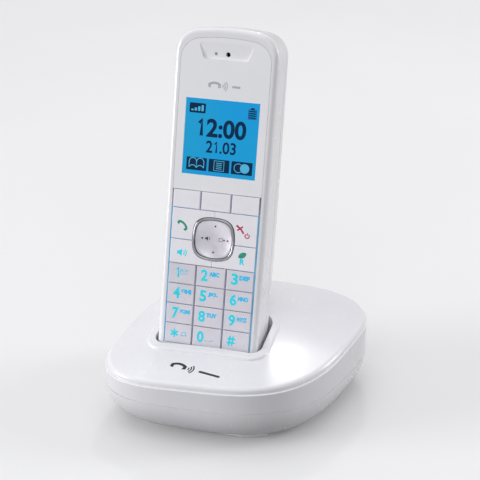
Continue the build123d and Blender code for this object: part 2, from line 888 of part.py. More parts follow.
def plinth_outline(inset):
    """The flat foot under the bowl: straight front edge, square corners."""
    middle = (plinth_centre_x, plinth_front + plinth_depth / 2)
    return Pos(*middle) * RectangleRounded(
        plinth_width - 2 * inset, plinth_depth - 2 * inset, plinth_corner)


board_post_y = base_board_y - base_board_depth / 2 + board_post_inset
board_posts = [
    (base_board_x + side * (base_board_width / 2 - board_post_inset), board_post_y)
    for side in (-1, 1)
]
foot_places = [
    (
        plinth_centre_x + side * (plinth_width / 2 - foot_inset),
        plinth_front + foot_inset + end * (plinth_depth - 2 * foot_inset),
    )
    for side in (-1, 1) for end in (0, 1)
]


def make_base_lower_case():
    """Bowl-shaped bottom shell with its plinth, screw wells, foot seats and board posts."""
    shell = bowl(0, 0)
    plinth = extrude(Pos(0, 0, plinth_lift) * plinth_outline(0), bowl_bottom + overshoot - plinth_lift)
    shell = shell + solid_of(plinth & extrude(base_outline(plinth_inset), bowl_bottom + overshoot))
    shell = shell - bowl(base_wall, base_wall)
    for x, y in foot_places:
        shell = shell - upright(foot_radius + foot_clearance, -overshoot, foot_height, x, y)
    for x, y in base_screw_places:
        shell = shell + upright(boss_radius, plinth_lift + overshoot, boss_foot, x, y)
        shell = shell - upright(screw_shank_radius + screw_clearance, -overshoot, reach, x, y)
        shell = shell - upright(
            screw_head_radius + screw_clearance, -overshoot, screw_sink + screw_head_height, x, y)
    for x, y in board_posts:
        shell = shell + upright(board_post_radius, bowl_bottom + overshoot, base_board_height, x, y)
    return solid_of(shell - base_seam_groove())


pieces["base_upper_case"] = make_base_upper_case()
pieces["base_lower_case"] = make_base_lower_case()


# ======================= Base: feet and screws =======================

def make_feet():
    """Four soft pads pressed into the plinth, standing just below it."""
    pads = []
    for x, y in foot_places:
        pad = upright(foot_radius, 0, foot_height, x, y)
        pads.append(solid_of(fillet(pad.faces().sort_by(Axis.Z)[0].edges(), foot_edge_round)))
    return Compound(children=pads)


def make_base_screws():
    """Three self-tapping screws from below into the upper shell's posts."""
    screws = []
    for x, y in base_screw_places:
        head = upright(screw_head_radius, screw_sink, screw_sink + screw_head_height, x, y)
        shank = upright(screw_shank_radius, screw_sink, screw_sink + screw_length, x, y)
        screws.append(solid_of(head + shank))
    return Compound(children=screws)


pieces["base_feet"] = make_feet()
pieces["base_screws"] = make_base_screws()


# ======================= Base: circuit board and sockets =======================

def on_board(x, y, width, depth, height):
    """Box standing on the base board."""
    low = (x - width / 2, y - depth / 2, board_top)
    return box_between(low, (x + width / 2, y + depth / 2, board_top + height))


def make_base_board():
    low = (base_board_x - base_board_width / 2, base_board_y - base_board_depth / 2, base_board_height)
    high = (base_board_x + base_board_width / 2, base_board_y + base_board_depth / 2, board_top)
    board = box_between(low, high)
    for x, y in base_screw_places:
        board = board - upright(boss_radius + socket_clearance, 0, reach, x, y)
    return solid_of(board)


def make_power_inlet():
    """Round low-voltage socket with its centre pin, looking out of the rear wall."""
    socket_front = rear_wall_at(power_inlet_x) - socket_recess
    middle = socket_front - inlet_depth / 2
    block = on_board(power_inlet_x, middle, inlet_width, inlet_depth, inlet_height)
    z = board_top + inlet_height / 2
    bore_end = socket_front - inlet_bore_depth
    block = block - rod(inlet_bore, bore_end, reach, power_inlet_x, z)
    pin = rod(inlet_pin_radius, bore_end - overshoot, socket_front - overshoot, power_inlet_x, z)
    return solid_of(block + pin)


def make_line_socket():
    """Modular telephone-line socket, looking out of the rear wall."""
    socket_front = rear_wall_at(line_socket_x) - socket_recess
    middle = socket_front - line_depth / 2
    block = on_board(line_socket_x, middle, line_width, line_depth, line_height)
    z = board_top + line_height / 2
    port = box_between(
        (line_socket_x - line_port_width / 2, socket_front - line_port_depth, z - line_port_height / 2),
        (line_socket_x + line_port_width / 2, reach, z + line_port_height / 2),
    )
    return solid_of(block - port)


pieces["base_circuit_board"] = make_base_board()
pieces["power_inlet"] = make_power_inlet()
pieces["line_socket"] = make_line_socket()
pieces["base_radio_shield"] = on_board(*base_shield_place, *base_shield_size)


def make_base_antenna():
    """Bent strip aerial standing on the end of the base board."""
    x, y = base_antenna_place
    width, depth, height = base_antenna_size
    stem = on_board(x, y, base_antenna_thickness, depth, height)
    top = board_top + height
    arm = box_between(
        (x - width, y - depth / 2, top - base_antenna_thickness),
        (x + base_antenna_thickness / 2, y + depth / 2, top),
    )
    return solid_of(stem + arm)


pieces["base_antenna"] = make_base_antenna()


# ======================= Base: locator button =======================

button_outer = rear_wall_at(button_x) + button_proud
button_inner = rear_wall_at(button_x) - skirt_wall - button_gap
flange_back = button_inner - button_flange_thickness
stem_back = flange_back - button_stem_length
switch_front = stem_back - button_travel - button_gap


def make_locator_button():
    """Round button through the rear wall, with a flange that keeps it in and a stem to its switch."""
    cap = rod(button_radius, button_inner, button_outer, button_x, button_z)
    cap = fillet(solid_of(cap).faces().sort_by(Axis.Y)[-1].edges(), button_edge_round)
    flange = rod(button_radius + button_flange, flange_back, button_inner, button_x, button_z)
    stem = rod(button_stem_radius, stem_back, flange_back, button_x, button_z)
    return solid_of(cap + flange + stem)


def make_locator_switch():
    """Push switch standing on the board in front of the button's stem."""
    return box_between(
        (button_x - switch_size / 2, switch_front - switch_depth, board_top),
        (button_x + switch_size / 2, switch_front, button_z + switch_size / 2),
    )


pieces["locator_button"] = make_locator_button()
pieces["locator_switch"] = make_locator_switch()


# ======================= Base: charging contacts =======================

floor_underside = pocket_floor - pocket_wall


def make_contact_carrier():
    """Plastic block under the pocket floor with a well for each sprung contact."""
    half = terminal_spread + carrier_side
    underside = floor_underside - carrier_height
    block = box_between(
        (-half, terminal_depth - carrier_depth / 2, underside),
        (half, terminal_depth + carrier_depth / 2, floor_underside),
    )
    for side in (-1, 1):
        block = block - upright(
            contact_collar_radius + contact_slot_clearance, underside + carrier_wall,
            floor_underside + overshoot, side * terminal_spread, terminal_depth)
    return solid_of(block)


def make_charge_contact(side):
    """Round-nosed metal pin with a collar that keeps it under the pocket floor."""
    x = side * terminal_spread
    tip = handset_bottom - contact_proud_gap
    collar_top = floor_underside - contact_slot_clearance
    pin = upright(contact_radius, collar_top, tip, x, terminal_depth)
    pin = fillet(solid_of(pin).faces().sort_by(Axis.Z)[-1].edges(), contact_nose_round)
    collar_low = collar_top - contact_collar_height
    collar = upright(contact_collar_radius, collar_low, collar_top, x, terminal_depth)
    tail = upright(contact_radius, collar_low - contact_tail_length, collar_top, x, terminal_depth)
    return solid_of(pin + collar + tail)


pieces["contact_carrier"] = handset_place * make_contact_carrier()
pieces["charge_contact_left"] = handset_place * make_charge_contact(-1)
pieces["charge_contact_right"] = handset_place * make_charge_contact(1)


# ======================= Write the pieces =======================

os.makedirs("parts", exist_ok=True)
for name, piece in pieces.items():
    export_step(piece, "parts/" + name + ".step")
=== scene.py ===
import json
import math

import bpy
from mathutils import Matrix, Vector
from mathutils.bvhtree import BVHTree

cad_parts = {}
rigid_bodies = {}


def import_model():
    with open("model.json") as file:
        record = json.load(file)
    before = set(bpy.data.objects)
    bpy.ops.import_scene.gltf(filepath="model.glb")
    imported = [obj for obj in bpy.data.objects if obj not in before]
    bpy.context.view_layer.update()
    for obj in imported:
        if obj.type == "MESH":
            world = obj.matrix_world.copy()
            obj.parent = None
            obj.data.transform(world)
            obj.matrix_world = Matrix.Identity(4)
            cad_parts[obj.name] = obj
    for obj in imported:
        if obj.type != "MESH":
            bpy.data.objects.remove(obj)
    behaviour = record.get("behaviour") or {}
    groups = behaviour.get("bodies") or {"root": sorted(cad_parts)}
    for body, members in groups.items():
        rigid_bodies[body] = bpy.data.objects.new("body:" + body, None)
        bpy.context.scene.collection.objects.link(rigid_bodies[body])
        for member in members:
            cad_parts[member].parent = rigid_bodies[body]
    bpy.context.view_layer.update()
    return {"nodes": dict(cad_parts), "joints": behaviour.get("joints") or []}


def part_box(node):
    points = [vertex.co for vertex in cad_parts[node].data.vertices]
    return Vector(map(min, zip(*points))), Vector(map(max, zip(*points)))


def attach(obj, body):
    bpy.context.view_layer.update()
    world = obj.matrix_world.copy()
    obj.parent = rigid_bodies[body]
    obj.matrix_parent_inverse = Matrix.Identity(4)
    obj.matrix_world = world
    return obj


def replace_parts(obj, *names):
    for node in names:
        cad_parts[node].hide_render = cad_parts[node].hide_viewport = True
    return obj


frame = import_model()


# ==== Lower case of the base ====
# The bowl that forms the underside: injection-moulded ABS in gloss white, 2.2 mm thick, closed onto
# the upper case by three screws from below. The polished mould leaves a faint ripple and no grain.

nodes = frame["nodes"]
MM = 0.001


def linear(colour):
    """Turns an sRGB hex colour into the linear values that a shader works in."""
    parts = [int(colour[i:i + 2], 16) / 255 for i in (1, 3, 5)]
    return tuple(c / 12.92 if c <= 0.04045 else ((c + 0.055) / 1.055) ** 2.4 for c in parts) + (1.0,)


def add(tree, kind, settings, inputs):
    """Adds one node: settings are its options; inputs are values, or other nodes' outputs, by socket."""
    made = tree.nodes.new(kind)
    for option, value in settings.items():
        setattr(made, option, value)
    for socket, value in inputs.items():
        if isinstance(value, bpy.types.NodeSocket):
            tree.links.new(value, made.inputs[socket])
        else:
            made.inputs[socket].default_value = value
    return made


def per_mm(width):
    """Noise scale that makes its features this many millimetres wide."""
    return 1 / (width * MM)


def surface(name, colours, roughness, patch, grain, relief, sockets):
    """A solid material whose colour and roughness drift between two values over a fine relief.

    patch and grain are the widths in mm of the drift and of the relief, relief its height in mm."""
    material = bpy.data.materials.new(name)
    material.use_nodes = True
    tree = material.node_tree
    shader = tree.nodes["Principled BSDF"]
    place = add(tree, "ShaderNodeTexCoord", {}, {})
    drift = add(tree, "ShaderNodeTexNoise", {}, {
        "Vector": place.outputs["Object"], "Scale": per_mm(patch), "Detail": 4.0, "Roughness": 0.6})
    tint = add(tree, "ShaderNodeValToRGB", {}, {"Fac": drift.outputs["Fac"]})
    for stop, position, colour in zip(tint.color_ramp.elements, (0.35, 0.65), colours):
        stop.position = position
        stop.color = linear(colour)
    gloss = add(tree, "ShaderNodeMapRange", {}, {
        "Value": drift.outputs["Fac"], "From Min": 0.3, "From Max": 0.7,
        "To Min": roughness[0], "To Max": roughness[1]})
    fine = add(tree, "ShaderNodeTexNoise", {}, {
        "Vector": place.outputs["Object"], "Scale": per_mm(grain), "Detail": 2.0})
    bump = add(tree, "ShaderNodeBump", {}, {"Height": fine.outputs["Fac"], "Distance": relief * MM})
    tree.links.new(tint.outputs["Color"], shader.inputs["Base Color"])
    tree.links.new(gloss.outputs["Result"], shader.inputs["Roughness"])
    tree.links.new(bump.outputs["Normal"], shader.inputs["Normal"])
    for socket, value in sockets.items():
        shader.inputs[socket].default_value = value
    return material


def dress(material, *names):
    """Gives carried-over pieces their material."""
    for name in names:
        for place in nodes[name].material_slots:
            place.material = material


def scuffed(material, width, length, depth, amount):
    """Lays fine hairlines of handling wear over a material: they break up its gloss a little.

    width and length are one hairline's in mm, depth its height in mm."""
    tree = material.node_tree
    shader = tree.nodes["Principled BSDF"]
    place = add(tree, "ShaderNodeTexCoord", {}, {})
    turned = add(tree, "ShaderNodeMapping", {}, {
        "Vector": place.outputs["Object"], "Rotation": (0.4, 0.9, 0.6),
        "Scale": (per_mm(width), per_mm(length), per_mm(length))})
    lines = add(tree, "ShaderNodeTexNoise", {}, {
        "Vector": turned.outputs["Vector"], "Scale": 1.0, "Detail": 1.0})
    mask = add(tree, "ShaderNodeMapRange", {}, {
        "Value": lines.outputs["Fac"], "From Min": 0.62, "From Max": 0.78, "To Min": 0.0, "To Max": amount})
    before = shader.inputs["Roughness"].links[0].from_socket
    rough = add(tree, "ShaderNodeMath", {"operation": "ADD"}, {0: before, 1: mask.outputs["Result"]})
    relief = shader.inputs["Normal"].links[0].from_node
    bump = add(tree, "ShaderNodeBump", {}, {
        "Height": mask.outputs["Result"], "Distance": depth * MM, "Normal": relief.outputs["Normal"]})
    tree.links.new(rough.outputs["Value"], shader.inputs["Roughness"])
    tree.links.new(bump.outputs["Normal"], shader.inputs["Normal"])
    return material


# Gloss ABS, straight from a polished mould: clean highlights that soften where it has been wiped.
gloss_abs = surface(
    "gloss_white_abs", ("#e7e7eb", "#eaeaed"), (0.2, 0.28), 22, 5, 0.002,
    {"IOR": 1.53, "Coat Weight": 0.25, "Coat Roughness": 0.08, "Subsurface Weight": 0.0})
scuffed(gloss_abs, 0.25, 9, 0.0004, 0.06)
dress(gloss_abs, "base_lower_case")


# ==== Feet ====
# Four round pads of soft black rubber, 8 mm across, pressed into seats in the plinth.
# Moulded rubber is matt, a little dusty, and shows a fine pebble.

foot_rubber = surface(
    "moulded_rubber", ("#1d1d1f", "#29292b"), (0.7, 0.85), 3, 0.35, 0.03, {"IOR": 1.52})
dress(foot_rubber, "base_feet")


# ==== Circuit board of the base ====
# A glass-epoxy board under green solder mask, carried on two posts, with its small parts
# soldered on top: a tinned can over the radio, a bent strip aerial and the locator's push switch.

def as_mesh(data):
    """Evaluates a curve, a lettering or a mesh with its modifiers, and gives back the plain mesh."""
    holder = data if isinstance(data, bpy.types.Object) else bpy.data.objects.new("holder", data)
    if not holder.users_collection:
        bpy.context.scene.collection.objects.link(holder)
    graph = bpy.context.evaluated_depsgraph_get()
    mesh = bpy.data.meshes.new_from_object(holder.evaluated_get(graph), depsgraph=graph)
    bpy.data.objects.remove(holder)
    return mesh


def tree_with(name, inputs):
    """An empty geometry node tree with named inputs, and its two end nodes."""
    tree = bpy.data.node_groups.new(name, "GeometryNodeTree")
    tree.interface.new_socket(name="Geometry", in_out="OUTPUT", socket_type="NodeSocketGeometry")
    for label, kind in inputs.items():
        tree.interface.new_socket(name=label, in_out="INPUT", socket_type="NodeSocket" + kind)
    return tree, tree.nodes.new("NodeGroupInput"), tree.nodes.new("NodeGroupOutput")


def spread(tree, given, result, points, instance, **choices):
    """Ends a tree: sets the instance on every point, makes it real and gives it its material."""
    placed = add(tree, "GeometryNodeInstanceOnPoints", {}, {
        "Points": points, "Instance": instance, **choices})
    real = add(tree, "GeometryNodeRealizeInstances", {}, {"Geometry": placed.outputs["Instances"]})
    painted = add(tree, "GeometryNodeSetMaterial", {}, {
        "Geometry": real.outputs["Geometry"], "Material": given.outputs["Material"]})
    tree.links.new(painted.outputs["Geometry"], result.inputs["Geometry"])
    return tree


def grown(tree, **values):
    """The plain mesh that a node tree makes with these inputs."""
    holder = bpy.data.objects.new("holder", bpy.data.meshes.new("seed"))
    bpy.context.scene.collection.objects.link(holder)
    growth = holder.modifiers.new("growth", "NODES")
    growth.node_group = tree
    for item in tree.interface.items_tree:
        if item.in_out == "INPUT" and item.name in values:
            growth[item.identifier] = values[item.name]
    return as_mesh(holder)


def piece(name, mesh, body, material=None):
    """A finished piece in its place, riding on its body."""
    made = bpy.data.objects.new(name, mesh)
    bpy.context.scene.collection.objects.link(made)
    if material:
        mesh.materials.clear()
        mesh.materials.append(material)
    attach(made, body)
    return made


def board_parts_tree():
    """Grid of small soldered parts: blocks of uneven size, a few left out, on a rectangle of board."""
    tree, given, result = tree_with("soldered_parts", {
        "Width": "Float", "Depth": "Float", "Columns": "Int", "Rows": "Int", "Part": "Float",
        "Seed": "Int", "Material": "Material"})
    grid = add(tree, "GeometryNodeMeshGrid", {}, {
        "Size X": given.outputs["Width"], "Size Y": given.outputs["Depth"],
        "Vertices X": given.outputs["Columns"], "Vertices Y": given.outputs["Rows"]})
    chosen = add(tree, "FunctionNodeRandomValue", {"data_type": "BOOLEAN"}, {
        "Probability": 0.7, "Seed": given.outputs["Seed"]})
    sizes = add(tree, "FunctionNodeRandomValue", {"data_type": "FLOAT_VECTOR"}, {
        0: (0.6, 0.5, 0.35), 1: (1.7, 1.1, 0.9), "Seed": given.outputs["Seed"]})
    size = add(tree, "ShaderNodeCombineXYZ", {}, {axis: given.outputs["Part"] for axis in "XYZ"})
    block = add(tree, "GeometryNodeMeshCube", {}, {"Size": size.outputs["Vector"]})
    return spread(
        tree, given, result, grid.outputs["Mesh"], block.outputs["Mesh"],
        Selection=chosen.outputs[3], Scale=sizes.outputs[0])


# Solder mask over glass cloth: satin green, with the cloth's 0.4 mm weave just felt in it.
solder_mask = surface(
    "solder_mask_on_glass_epoxy", ("#12512f", "#1a6a3d"), (0.3, 0.42), 2.5, 0.4, 0.02, {"IOR": 1.5})
# Moulded epoxy and ceramic part bodies: dull charcoal.
part_epoxy = surface("moulded_epoxy", ("#242426", "#3a3835"), (0.45, 0.6), 1.2, 0.1, 0.01, {"IOR": 1.55})
# Tinned steel sheet: bright but clouded, with the fine drag lines of rolling.
tinplate = surface(
    "tinned_steel_sheet", ("#bfc0c2", "#d2d2d2"), (0.28, 0.42), 6, 0.3, 0.004, {"Metallic": 1.0})
# Glass-filled nylon: matt black with a dry, slightly mottled skin.
black_nylon = surface(
    "glass_filled_nylon", ("#141416", "#202022"), (0.5, 0.62), 2, 0.2, 0.012, {"IOR": 1.53})
dress(solder_mask, "base_circuit_board", "handset_circuit_board")
dress(tinplate, "base_radio_shield", "base_antenna", "handset_radio_shield", "handset_antenna")
dress(black_nylon, "locator_switch", "power_inlet", "line_socket", "contact_carrier")

parts_tree = board_parts_tree()
board_low, board_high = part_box("base_circuit_board")
soldered = grown(
    parts_tree, Width=16 * MM, Depth=14 * MM, Columns=7, Rows=6, Part=1.2 * MM, Seed=3, Material=part_epoxy)
parts_from_edge = 12 * MM
soldered.transform(Matrix.Translation(
    (board_low.x + parts_from_edge, (board_low.y + board_high.y) / 2, board_high.z)))
piece("base_soldered_parts", soldered, "base")


# ==== Line socket and power inlet ====
# Two black nylon sockets looking out of the back: a six-way line socket with sprung gold-plated
# wires in its port, and a round low-voltage inlet with a nickelled centre pin.

def bars_tree():
    """Straight round bars side by side, one bar every pitch."""
    tree, given, result = tree_with("bars_in_a_row", {
        "Count": "Int", "Pitch": "Float", "Length": "Float", "Radius": "Float", "Material": "Material"})
    step = add(tree, "ShaderNodeCombineXYZ", {}, {"X": given.outputs["Pitch"]})
    row = add(tree, "GeometryNodeMeshLine", {"mode": "OFFSET"}, {
        "Count": given.outputs["Count"], "Offset": step.outputs["Vector"]})
    bar = add(tree, "GeometryNodeMeshCylinder", {}, {
        "Vertices": 16, "Radius": given.outputs["Radius"], "Depth": given.outputs["Length"]})
    return spread(tree, given, result, row.outputs["Mesh"], bar.outputs["Mesh"])


# Gold flash over nickel: warm, bright and smooth.
gold_flash = surface(
    "gold_flash_on_nickel", ("#d9b45f", "#e6c579"), (0.18, 0.26), 1.5, 0.1, 0.001, {"Metallic": 1.0})
socket_low, socket_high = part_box("line_socket")
wire_count = 6
wire_pitch = 1.02 * MM
wires_inside_mouth = 5.5 * MM
wires_above_middle = 2.2 * MM
wire_slant = math.radians(78)
bar_tree = bars_tree()
socket_wires = grown(
    bar_tree, Count=wire_count, Pitch=wire_pitch, Length=8 * MM, Radius=0.2 * MM, Material=gold_flash)
wires_at = Vector((
    (socket_low.x + socket_high.x) / 2 - (wire_count - 1) / 2 * wire_pitch,
    socket_high.y - wires_inside_mouth, (socket_low.z + socket_high.z) / 2 + wires_above_middle))
socket_wires.transform(Matrix.Translation(wires_at) @ Matrix.Rotation(wire_slant, 4, "X"))
piece("line_socket_wires", socket_wires, "base")


# ==== Charging contacts of the base ====
# Two round-nosed pins that stand through the pocket's floor on springs, in a black carrier.
# Nickel-plated brass: warm grey, bright, worn smooth at the nose.

nickel = surface(
    "nickel_plated_brass", ("#c2bcb0", "#d3cec4"), (0.16, 0.3), 1.5, 0.15, 0.002, {"Metallic": 1.0})
dress(nickel, "charge_contact_left", "charge_contact_right", "charge_terminals", "battery_contacts")


# ==== Upper case of the base, with its mark and the locator button ====
# The domed top with a raised rim round the pocket: the same gloss ABS as below, meeting it in a
# 0.4 mm shadow line. The small receiver mark is pad-printed in dark grey ink on its front.

def lumps(name, reach):
    """Boxes of a node's separate solids, told apart by being further than reach from each other."""
    groups = []
    for vertex in nodes[name].data.vertices:
        near = [g for g in groups if (g[0] - vertex.co).length < reach]
        if near:
            near[0].append(vertex.co.copy())
        else:
            groups.append([vertex.co.copy()])
    boxes = []
    for group in groups:
        low = Vector([min(p[i] for p in group) for i in range(3)])
        boxes.append((low, Vector([max(p[i] for p in group) for i in range(3)])))
    return sorted(boxes, key=lambda b: b[0].x)


def arc(centre, radius, start, end, steps=10):
    """Points of a round arc, its angles in degrees."""
    turns = [math.radians(start + (end - start) * i / steps) for i in range(steps + 1)]
    return [(centre[0] + radius * math.cos(t), centre[1] + radius * math.sin(t)) for t in turns]


def rounded(low, high, corner):
    """Outline of a rectangle with round corners."""
    left, bottom, right, top = low[0] + corner, low[1] + corner, high[0] - corner, high[1] - corner
    return (
        arc((right, top), corner, 0, 90, 4) + arc((left, top), corner, 90, 180, 4)
        + arc((left, bottom), corner, 180, 270, 4) + arc((right, bottom), corner, 270, 360, 4))


print_height = 0.03


def strokes(width, *lines):
    """Pen strokes of one width in mm, pressed flat. A line that ends where it starts is closed."""
    curve = bpy.data.curves.new("strokes", "CURVE")
    curve.dimensions = "3D"
    curve.bevel_depth = width / 2
    curve.bevel_resolution = 2
    curve.use_fill_caps = True
    for points in lines:
        closed = points[0] == points[-1]
        kept = points[:-1] if closed else points
        spline = curve.splines.new("POLY")
        spline.points.add(len(kept) - 1)
        for point, (x, y) in zip(spline.points, kept):
            point.co = (x, y, 0, 1)
        spline.use_cyclic_u = closed
    mesh = as_mesh(curve)
    mesh.transform(Matrix.Diagonal((1, 1, print_height / width, 1)))
    return mesh


def filled(*outlines):
    """Flat printed areas, in mm. An outline inside another is a hole."""
    curve = bpy.data.curves.new("filled", "CURVE")
    curve.dimensions = "2D"
    curve.fill_mode = "BOTH"
    curve.extrude = print_height / 2
    for points in outlines:
        spline = curve.splines.new("POLY")
        spline.points.add(len(points) - 1)
        for point, (x, y) in zip(spline.points, points):
            point.co = (x, y, 0, 1)
        spline.use_cyclic_u = True
    return as_mesh(curve)


def turned(points, degrees, centre=(0, 0)):
    """Points turned about the origin and moved to centre."""
    c, s = math.cos(math.radians(degrees)), math.sin(math.radians(degrees))
    return [(centre[0] + x * c - y * s, centre[1] + x * s + y * c) for x, y in points]


def receiver(length, degrees, centre):
    """Outline of a telephone receiver: a bowed grip with an ear piece and a mouth piece."""
    outer = arc((0, -0.55 * length), 0.78 * length, 130, 50)
    inner = arc((0, -0.55 * length), 0.6 * length, 60, 120)
    ears = [(0.5 * length, -0.2 * length), (0.28 * length, -0.25 * length)]
    return turned(outer + ears + inner + [(-x, y) for x, y in reversed(ears)], degrees, centre)


def print_on(name, meshes, matrix, node, into, body, material):
    """Lays flat print onto a piece: each point goes along into until it meets that piece's surface."""
    target = nodes[node].data
    skin = BVHTree.FromPolygons(
        [v.co for v in target.vertices], [p.vertices for p in target.polygons])
    merged = bpy.data.meshes.new(name)
    points, faces = [], []
    for mesh in meshes:
        start = len(points)
        points += [v.co.copy() for v in mesh.vertices]
        faces += [[start + i for i in p.vertices] for p in mesh.polygons]
    laid = []
    for point in points:
        above = matrix @ Vector((point.x, point.y, 0)) - into * 0.02
        hit = skin.ray_cast(above, into)[0]
        laid.append(hit - into * (point.z + print_height / 2) * MM)
    merged.from_pydata(laid, [], faces)
    return piece(name, merged, body, material)


# Pad-printing ink: a thin satin film, dark grey.
dark_ink = surface(
    "pad_printing_ink", ("#232326", "#2c2c30"), (0.38, 0.5), 1.5, 0.15, 0.003, {"IOR": 1.5})
dress(gloss_abs, "base_upper_case", "locator_button")
down = Vector((0, 0, -1))
mark_turn = math.radians(-9.5)
mark_across = -10.0
mark_forward = -34.4
above_dome = 50.0
mark_place = Matrix.Scale(MM, 4) @ Matrix.Translation(
    (mark_across, mark_forward, above_dome)) @ Matrix.Rotation(mark_turn, 4, "Z")
print_on(
    "base_mark",
    [
        filled(receiver(7.5, 0, (-7.6, 0.6))),
        strokes(0.6, *[arc((-3.6, 0), r, -48, 48) for r in (1.0, 2.1, 3.2)]),
        filled(rounded((2.2, -0.6), (12.2, 0.6), 0.6)),
    ],
    mark_place, "base_upper_case", down, "base", dark_ink)


# ==== Screws of the base ====
# Three self-tapping pan-head screws, driven from below: zinc-plated steel with a cross recess.
# Turned and rolled, then plated: satin, blue-white, brighter where the driver has slipped.

def cross_screw(head_radius, head_height, shank_radius, length):
    """A pan-head screw standing on its tip: head on top, at the height length above the origin."""
    profile = [(0, 0), (shank_radius * 0.4, 0), (shank_radius, shank_radius * 1.5)]
    ridge = shank_radius * 0.55
    z = shank_radius * 1.5
    while z < length - head_height - ridge * 2:
        profile += [(shank_radius, z), (shank_radius * 0.72, z + ridge / 2)]
        z += ridge
    profile += [(shank_radius, z), (shank_radius, length - head_height)]
    crown = head_height * 0.45
    dome = arc((0, 0), 1, 0, 90, 6)
    profile += [(head_radius, length - head_height)]
    profile += [(head_radius * out, length - crown * (1 - up)) for out, up in dome]
    steps = 40
    points, faces = [], []
    for radius, height in profile:
        points += [
            (radius * math.cos(2 * math.pi * k / steps), radius * math.sin(2 * math.pi * k / steps), height)
            for k in range(steps)]
    for i in range(len(profile) - 1):
        for k in range(steps):
            j = (k + 1) % steps
            faces.append((i * steps + k, i * steps + j, (i + 1) * steps + j, (i + 1) * steps + k))
    mesh = bpy.data.meshes.new("screw")
    mesh.from_pydata(points, [], faces)
    body = bpy.data.objects.new("screw", mesh)
    bpy.context.scene.collection.objects.link(body)
    weld = body.modifiers.new("weld", "WELD")
    weld.merge_threshold = head_radius * 0.001
    for turn in (0, 90):
        slot = bpy.data.meshes.new("slot")
        half, thin, deep = head_radius * 0.55, head_radius * 0.13, head_height * 0.7
        top = length + 1
        corners = [
            (x, y, z) for z, grow in ((length - deep, 0.35), (top, 1.0))
            for x, y in (
                (-half * grow, -thin), (half * grow, -thin), (half * grow, thin), (-half * grow, thin))]
        slot.from_pydata(corners, [], [
            (3, 2, 1, 0), (4, 5, 6, 7), (0, 1, 5, 4), (1, 2, 6, 5), (2, 3, 7, 6), (3, 0, 4, 7)])
        slot.transform(Matrix.Rotation(math.radians(turn), 4, "Z"))
        tool = bpy.data.objects.new("tool", slot)
        bpy.context.scene.collection.objects.link(tool)
        cut = body.modifiers.new("recess", "BOOLEAN")
        cut.object = tool
        cut.operation = "DIFFERENCE"
    finished = as_mesh(body)
    for tool in [o for o in bpy.context.scene.collection.objects if o.name.startswith("tool")]:
        bpy.data.objects.remove(tool)
    return finished


def screws(name, node, reach, axis, head_radius, head_height, shank_radius, length, body):
    """Cut screws in place of a node's plain ones. axis points from a screw's tip to its head."""
    points, faces = [], []
    model = cross_screw(head_radius, head_height, shank_radius, length)
    turn = Vector((0, 0, 1)).rotation_difference(axis).to_matrix().to_4x4()
    for low, high in lumps(node, reach):
        middle = (low + high) / 2
        place = Matrix.Translation(middle - axis * length * MM / 2) @ turn @ Matrix.Scale(MM, 4)
        start = len(points)
        points += [place @ v.co for v in model.vertices]
        faces += [[start + i for i in p.vertices] for p in model.polygons]
    mesh = bpy.data.meshes.new(name)
    mesh.from_pydata(points, [], faces)
    made = piece(name, mesh, body, zinc)
    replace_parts(made, node)
    return made


zinc = surface(
    "zinc_plated_steel", ("#a9adb2", "#c3c6ca"), (0.25, 0.4), 0.8, 0.12, 0.004, {"Metallic": 1.0})
screws("base_screws_cut", "base_screws", 17 * MM, down, 2.5, 1.8, 1.2, 15.0, "base")


# ==== Front case and fascia of the handset ====
# A shallow gloss ABS shell, and set flush in it the clear acrylic fascia, white-printed behind,
# with a dip round the ear hole. The fascia is the shinier of the two and a touch cooler.

joint = {j["name"]: j for j in frame["joints"]}
across = Vector((1, 0, 0))
along = Vector(joint["handset_lift"]["axis"]).normalized()
into = Vector(joint["key_5_press"]["axis"]).normalized()


def extent(name):
    """A node's lowest and highest (across, along, into) on the leaning handset, in mm."""
    spots = [[v.co.dot(way) / MM for way in (across, along, into)] for v in nodes[name].data.vertices]
    return [min(s[i] for s in spots) for i in range(3)], [max(s[i] for s in spots) for i in range(3)]


def leaning(u, v, depth):
    """Places flat print, drawn in mm, on the handset's face about the point (u, v)."""
    turn = Matrix((across, along, -into)).transposed().to_4x4()
    return turn @ Matrix.Scale(MM, 4) @ Matrix.Translation((u, v, -depth))


# Printed acrylic: hard, flat and very smooth, so it mirrors more sharply than the case.
fascia_acrylic = surface(
    "white_printed_acrylic", ("#eff0f3", "#f2f2f5"), (0.1, 0.16), 14, 4, 0.003,
    {"IOR": 1.49, "Coat Weight": 0.5, "Coat Roughness": 0.03})
scuffed(fascia_acrylic, 0.2, 6, 0.0003, 0.05)
# Silver ink, screen-printed on the back of the fascia: pale grey, a little metallic.
silver_ink = surface(
    "silver_screen_ink", ("#b5b2bd", "#bfbdc7"), (0.35, 0.45), 1.5, 0.12, 0.002, {"Metallic": 0.3})
dress(gloss_abs, "handset_front_case")
dress(fascia_acrylic, "fascia_panel")

glass_low, glass_high = extent("display_glass")
screen_u = (glass_low[0] + glass_high[0]) / 2
screen_v = (glass_low[1] + glass_high[1]) / 2
face = extent("fascia_panel")[0][2]
screen_half = (glass_high[0] - glass_low[0]) / 2
mark_aside = 0.8
mark_above = 6.0
print_on(
    "fascia_mark",
    [
        filled(receiver(5.6, 0, (-3.4, 0.4))),
        strokes(0.45, *[arc((-0.4, 0), r, -48, 48) for r in (0.8, 1.7, 2.6)]),
        filled(rounded((4.2, -0.45), (8.0, 0.45), 0.45)),
    ],
    leaning(screen_u - mark_aside, screen_v + screen_half + mark_above, face), "fascia_panel", into,
    "handset", silver_ink)


# ==== Display ====
# A square liquid-crystal display, lit from behind by blue diodes through a diffuser, so the whole
# field glows and the dark segments stop the light. Its cover glass sits just below the fascia.

